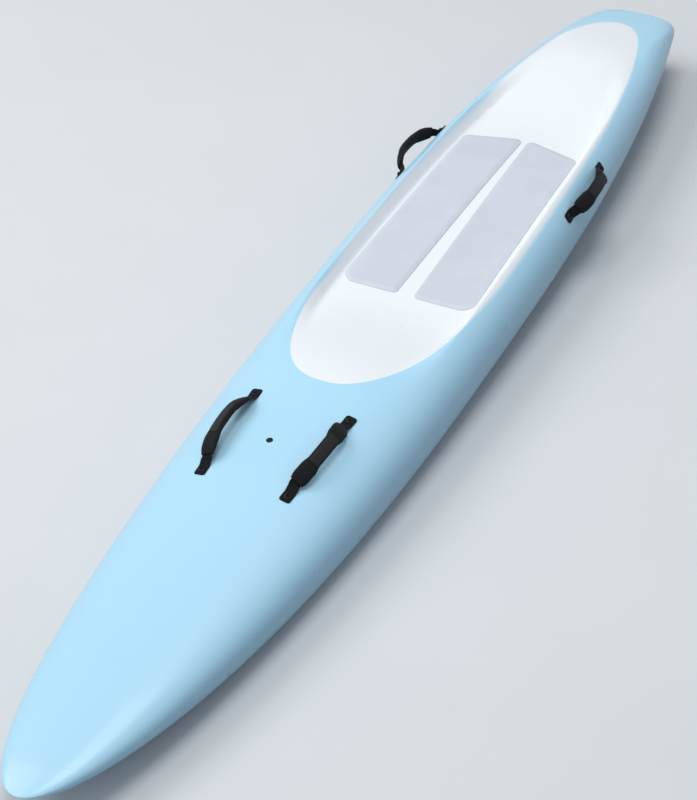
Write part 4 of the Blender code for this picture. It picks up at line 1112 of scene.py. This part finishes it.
def fastener_tree():
    """Sets a copy of one fastener on each point, by the point's 'out' and 'fore'."""
    tree = bpy.data.node_groups.new("fasteners on their seats", "GeometryNodeTree")
    group_socket(tree, "Seats", "Geometry")
    group_socket(tree, "Fastener", "Object")
    group_socket(tree, "Finish", "Material")
    given = add_node(tree, "NodeGroupInput").outputs
    raised = turned_to(tree, "Z", carried(tree, "out"))
    facing = turned_to(tree, "X", carried(tree, "fore"), "Z", raised)
    shape = shape_node(tree, "ObjectInfo", inputs={"Object": given["Fastener"]})
    laid = {"Points": given["Seats"], "Instance": shape, "Rotation": facing}
    placed = shape_node(tree, "InstanceOnPoints", "Instances", laid)
    end_tree(tree, "Fasteners", placed, given["Finish"], smooth=False)
    return tree


def raised_profile(profile, foot):
    return [(radius, foot + height) for radius, height in profile]


def set_on_seats(name, shape, finish):
    """One fastener on every screw seat, each turned a little further than the last."""
    points, outs, fores = [], [], []
    for number, seat in enumerate(screw_seats.values()):
        points.append(seat.translation)
        outs.append(seat.to_3x3() @ Vector((0.0, 0.0, 1.0)))
        fores.append(seat.to_3x3() @ Matrix.Rotation(1.1 * number, 3, "Z") @ Vector((1.0, 0.0, 0.0)))
    made = with_attributes(name, points, {"out": outs, "fore": fores})
    pattern = new_object("pattern", shape)
    built_by(made, fasteners, {"Fastener": pattern, "Finish": finish})
    bpy.data.objects.remove(pattern, do_unlink=True)
    stand(made, 40.0)
    return made


def cut_mesh(mesh, cutter, seat):
    """A mesh with one solid cut out of it."""
    block = new_object("block", mesh)
    cut_by(block, [(cutter, seat)])
    mesh = block.data.copy()
    bpy.data.objects.remove(block, do_unlink=True)
    return mesh


black_steel, tree, shader = new_finish("blackened steel", metallic=1.0)
worn = noise(tree, object_place(tree), 500.0, 5.0, 0.7)
bare_metal = between(tree, worn, 0.55, 0.75, 0.0, 1.0)
colour(shader, bare_metal, srgb(26, 27, 30), srgb(58, 58, 62))
polish(shader, worn, 0.38, 0.55)

fasteners = fastener_tree()
blank = turned(raised_profile(SCREW_PROFILE, HEAD_FOOT), 28)
screw = cut_mesh(blank, turned(HEXAGON_PROFILE, 6), Matrix.Translation((0.0, 0.0, SOCKET_FOOT)))
washer = turned(raised_profile(WASHER_PROFILE, WASHER_FOOT), 32)
screws = set_on_seats("handle_socket_screws", screw, black_steel)
washers = set_on_seats("handle_cup_washers", washer, black_plastic)
for piece, ending, slot in ((screws, "_screw", "black_steel"), (washers, "_washer", "black_plastic")):
    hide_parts(*[name + ending for name in screw_seats])
    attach(piece, "board")


# Vent
# A black plastic bush is bonded into the deck beside the stringer. A slotted plug screws down in
# it on a rubber ring, and is backed out to let the warm board breathe.

BUSH_PROFILE = (
    (0.0061, 0.0001), (0.0065, 0.0005), (0.0076, 0.0005), (0.008, 0.0001), (0.008, -0.02),
    (0.0015, -0.02), (0.0015, -0.018), (0.0043, -0.018), (0.0043, -0.004), (0.0061, -0.004),
)
PLUG_PROFILE = (
    (0, 0), (0.0052, 0), (0.0057, -0.0003), (0.0058, -0.0007), (0.0058, -0.002),
    (0.004, -0.002), (0.004, -0.014), (0, -0.016),
)
SEAL_RADIUS = 0.005
SEAL_THICK = 0.0014
SEAL_DEPTH = 0.003
SLOT_WIDTH = 0.0012
SLOT_DEPTH = 0.001


def vent_piece(name, mesh, finish, node, body):
    made = new_object(name, mesh)
    made.data.transform(vent_seat)
    stand(made, 35.0)
    made.data.materials.append(finish)
    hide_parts(node)
    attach(made, body)


seal_profile = [
    (SEAL_RADIUS + SEAL_THICK / 2 * math.cos(a), SEAL_THICK / 2 * math.sin(a) - SEAL_DEPTH)
    for a in np.linspace(0, 2 * math.pi, 17)[:-1]
]
half_slot = SLOT_WIDTH / 2
slot_box = bpy.data.meshes.new("slot")
slot_box.from_pydata(
    [(x, y, z) for z in (-SLOT_DEPTH, 0.002) for y in (-0.012, 0.012) for x in (-half_slot, half_slot)], [],
    [(0, 2, 3, 1), (4, 5, 7, 6), (0, 1, 5, 4), (2, 6, 7, 3), (0, 4, 6, 2), (1, 3, 7, 5)],
)
plug = cut_mesh(turned(PLUG_PROFILE, 48), slot_box, Matrix.Identity(4))

rubber, tree, shader = new_finish("seal rubber", roughness=0.75, specular_ior_level=0.3)
bloom = noise(tree, object_place(tree), 800.0, 3.0)
colour(shader, bloom, srgb(18, 18, 19), srgb(34, 34, 35))
vent_piece("vent_bush", turned(BUSH_PROFILE, 48), black_plastic, "vent_body", "board")
vent_piece("vent_sealing_ring", turned(seal_profile, 48), rubber, "vent_seal", "board")
vent_piece("vent_slotted_plug", plug, black_plastic, "vent_screw", "vent_plug")


# Fin and its box
# A raked fin of dark woven glass laminate stands in a plastic box let into the bottom near the
# tail. Its front tongue is held by a stainless screw in a square brass nut.

FIN_DEPTH = 0.105
FIN_ROOT = 0.145
FIN_TIP = 0.05
FIN_RAKE = 0.10
FIN_LEADING = 0.0625
FIN_ROOT_THICK = 0.008
FIN_TIP_THINNER = 0.004
FIN_TENON = (0.0607, -0.0807, 0.0045)
CLOTH_PITCH = 0.004


def fin_ring(leading, trailing, half_thick, height, squareness):
    """Section of the fin: a squared block for a low squareness, else fuller ahead than behind."""
    middle, reach = (leading + trailing) / 2, (leading - trailing) / 2
    ring = []
    for step in range(44):
        angle = 2 * math.pi * (step + 0.5) / 44
        c, s = math.cos(angle), math.sin(angle)
        along = math.copysign(abs(c) ** squareness, c)
        across = math.copysign(abs(s) ** squareness, s)
        belly = 1.0 + 0.25 * along if squareness > 0.5 else 1.0
        ring.append((middle + reach * along, half_thick * across * belly, height))
    return ring


fin_rings = [fin_ring(*FIN_TENON, height, 0.12) for height in (0.018, 0.004)]
for share in np.concatenate([np.linspace(0.0, 0.9, 16), [0.93, 0.955, 0.975, 0.99, 1.0]]):
    chord = FIN_ROOT + (FIN_TIP - FIN_ROOT) * share**1.5
    chord *= 1.0 - 0.35 * max(share - 0.9, 0.0) / 0.1
    leading = FIN_LEADING - FIN_RAKE * share**1.4
    half_thick = (FIN_ROOT_THICK - FIN_TIP_THINNER * share) / 2 * 0.82
    fin_rings.append(fin_ring(leading, leading - chord, half_thick, -0.0003 - FIN_DEPTH * share, 0.95))
fin = new_object("woven_laminate_fin", tube(fin_rings))
fin.data.transform(fin_seat)
stand(fin, 40.0)
fin_laminate, tree, shader = new_finish("dark woven laminate", coat_weight=0.6, coat_roughness=0.08)
where = object_place(tree)
split = add_node(tree, "ShaderNodeSeparateXYZ", {"Vector": where}).outputs
warp, weft = wave(tree, split["X"], CLOTH_PITCH), wave(tree, split["Z"], CLOTH_PITCH)
crossing = math_node(tree, "MULTIPLY", warp, weft)
checks = between(tree, crossing, -0.25, 0.25, 0.0, 1.0, smooth=True)
cloudy = noise(tree, where, 30.0, 3.0)
colour(shader, weighed(tree, checks, 0.6, cloudy, 0.4), srgb(24, 27, 31), srgb(58, 63, 70))
polish(shader, cloudy, 0.28, 0.42)
emboss(shader, checks, 0.15, 0.0002)
fin.data.materials.append(fin_laminate)
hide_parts("fin")
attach(fin, "board")

stainless, tree, shader = new_finish("stainless steel", metallic=1.0)
brushed = noise(tree, object_place(tree), 900.0, 4.0, 0.7)
colour(shader, brushed, srgb(176, 178, 180), srgb(206, 207, 208))
polish(shader, brushed, 0.22, 0.38)
brass, tree, shader = new_finish("brass", metallic=1.0)
tarnish = noise(tree, object_place(tree), 300.0, 4.0, 0.7)
colour(shader, tarnish, srgb(196, 160, 88), srgb(150, 116, 58))
polish(shader, tarnish, 0.28, 0.5)
refinish(stainless, "fin_screw")
refinish(brass, "fin_nut")
refinish(black_plastic, "fin_box")


# Camera, floor and lights
# A plain pale floor under a soft sky that is brighter ahead of the board, with a broad lamp
# overhead and one on the starboard side. The camera looks down the board from off its port bow.

EYE = Vector((5.4175, 2.2544, 3.8444))
AIM = Vector((1.816, 0.015, 0.1))
ROLL = -0.1041

sight = (AIM - EYE).normalized()
level = sight.cross(Vector((0.0, 0.0, 1.0))).normalized()
upright = level.cross(sight)
right = level * math.cos(ROLL) + upright * math.sin(ROLL)
up = upright * math.cos(ROLL) - level * math.sin(ROLL)
placing = Matrix((right, up, -sight)).transposed().to_4x4()
placing.translation = EYE
camera_data = bpy.data.cameras.new("camera")
camera_data.sensor_fit = "VERTICAL"
camera_data.sensor_height = 36.0
camera_data.lens = 107.02
camera_data.clip_end = 60.0
camera = new_object("camera", camera_data)
camera.matrix_world = standing @ placing
bpy.context.scene.camera = camera


def seen_directly(tree):
    """1 for what the camera sees itself, in a mirror or through glass, 0 for light that spreads."""
    ray = add_node(tree, "ShaderNodeLightPath").outputs
    mirrored = math_node(tree, "MAXIMUM", ray["Is Glossy Ray"], ray["Is Transmission Ray"])
    return math_node(tree, "MAXIMUM", ray["Is Camera Ray"], mirrored)


floor_mesh = bpy.data.meshes.new("floor")
floor_mesh.from_pydata([(-30, -30, 0), (30, -30, 0), (30, 30, 0), (-30, 30, 0)], [], [(0, 1, 2, 3)])
floor = new_object("floor", floor_mesh)
floor_finish, tree, shader = new_finish("pale floor", roughness=0.9, specular_ior_level=0.1)
mottle = noise(tree, object_place(tree), 3.0, 3.0)
pale = blend_colours(tree, mottle, srgb(221, 224, 228), srgb(226, 229, 233))
colour(shader, seen_directly(tree), srgb(112, 126, 140), pale)
floor_mesh.materials.append(floor_finish)

world = bpy.context.scene.world or bpy.data.worlds.new("sky")
bpy.context.scene.world = world
world.use_nodes = True
tree = world.node_tree
sky_way = add_node(tree, "ShaderNodeTexCoord").outputs["Generated"]
split = add_node(tree, "ShaderNodeSeparateXYZ", {"Vector": sky_way}).outputs
fill = between(tree, split["X"], 0.0, 1.0, 0.27, 0.96)
seen = between(tree, split["Z"], 0.0, 1.0, 0.75, 0.95)
strength = add_node(tree, "ShaderNodeMix", {0: seen_directly(tree), 2: fill, 3: seen}, data_type="FLOAT")
background = tree.nodes["Background"]
background.inputs["Color"].default_value = (0.90, 0.97, 1.0, 1.0)
tree.links.new(strength.outputs[0], background.inputs["Strength"])

for name, lamp_at, size, watts in (
    ("side lamp", (1.2, -4.6, 6.2), 4.0, 208.0),
    ("top lamp", (0.0, 0.3, 7.0), 3.0, 171.0),
):
    lamp_data = bpy.data.lights.new(name, "AREA")
    lamp_data.shape = "SQUARE"
    lamp_data.size = size
    lamp_data.energy = watts
    lamp_data.color = (1.0, 0.99, 0.975)
    lamp = new_object(name, lamp_data)
    aimed = Vector(lamp_at).to_track_quat("Z", "X").to_matrix().to_4x4()
    lamp.matrix_world = Matrix.Translation(lamp_at) @ aimed

bpy.context.scene.view_settings.view_transform = "Standard"
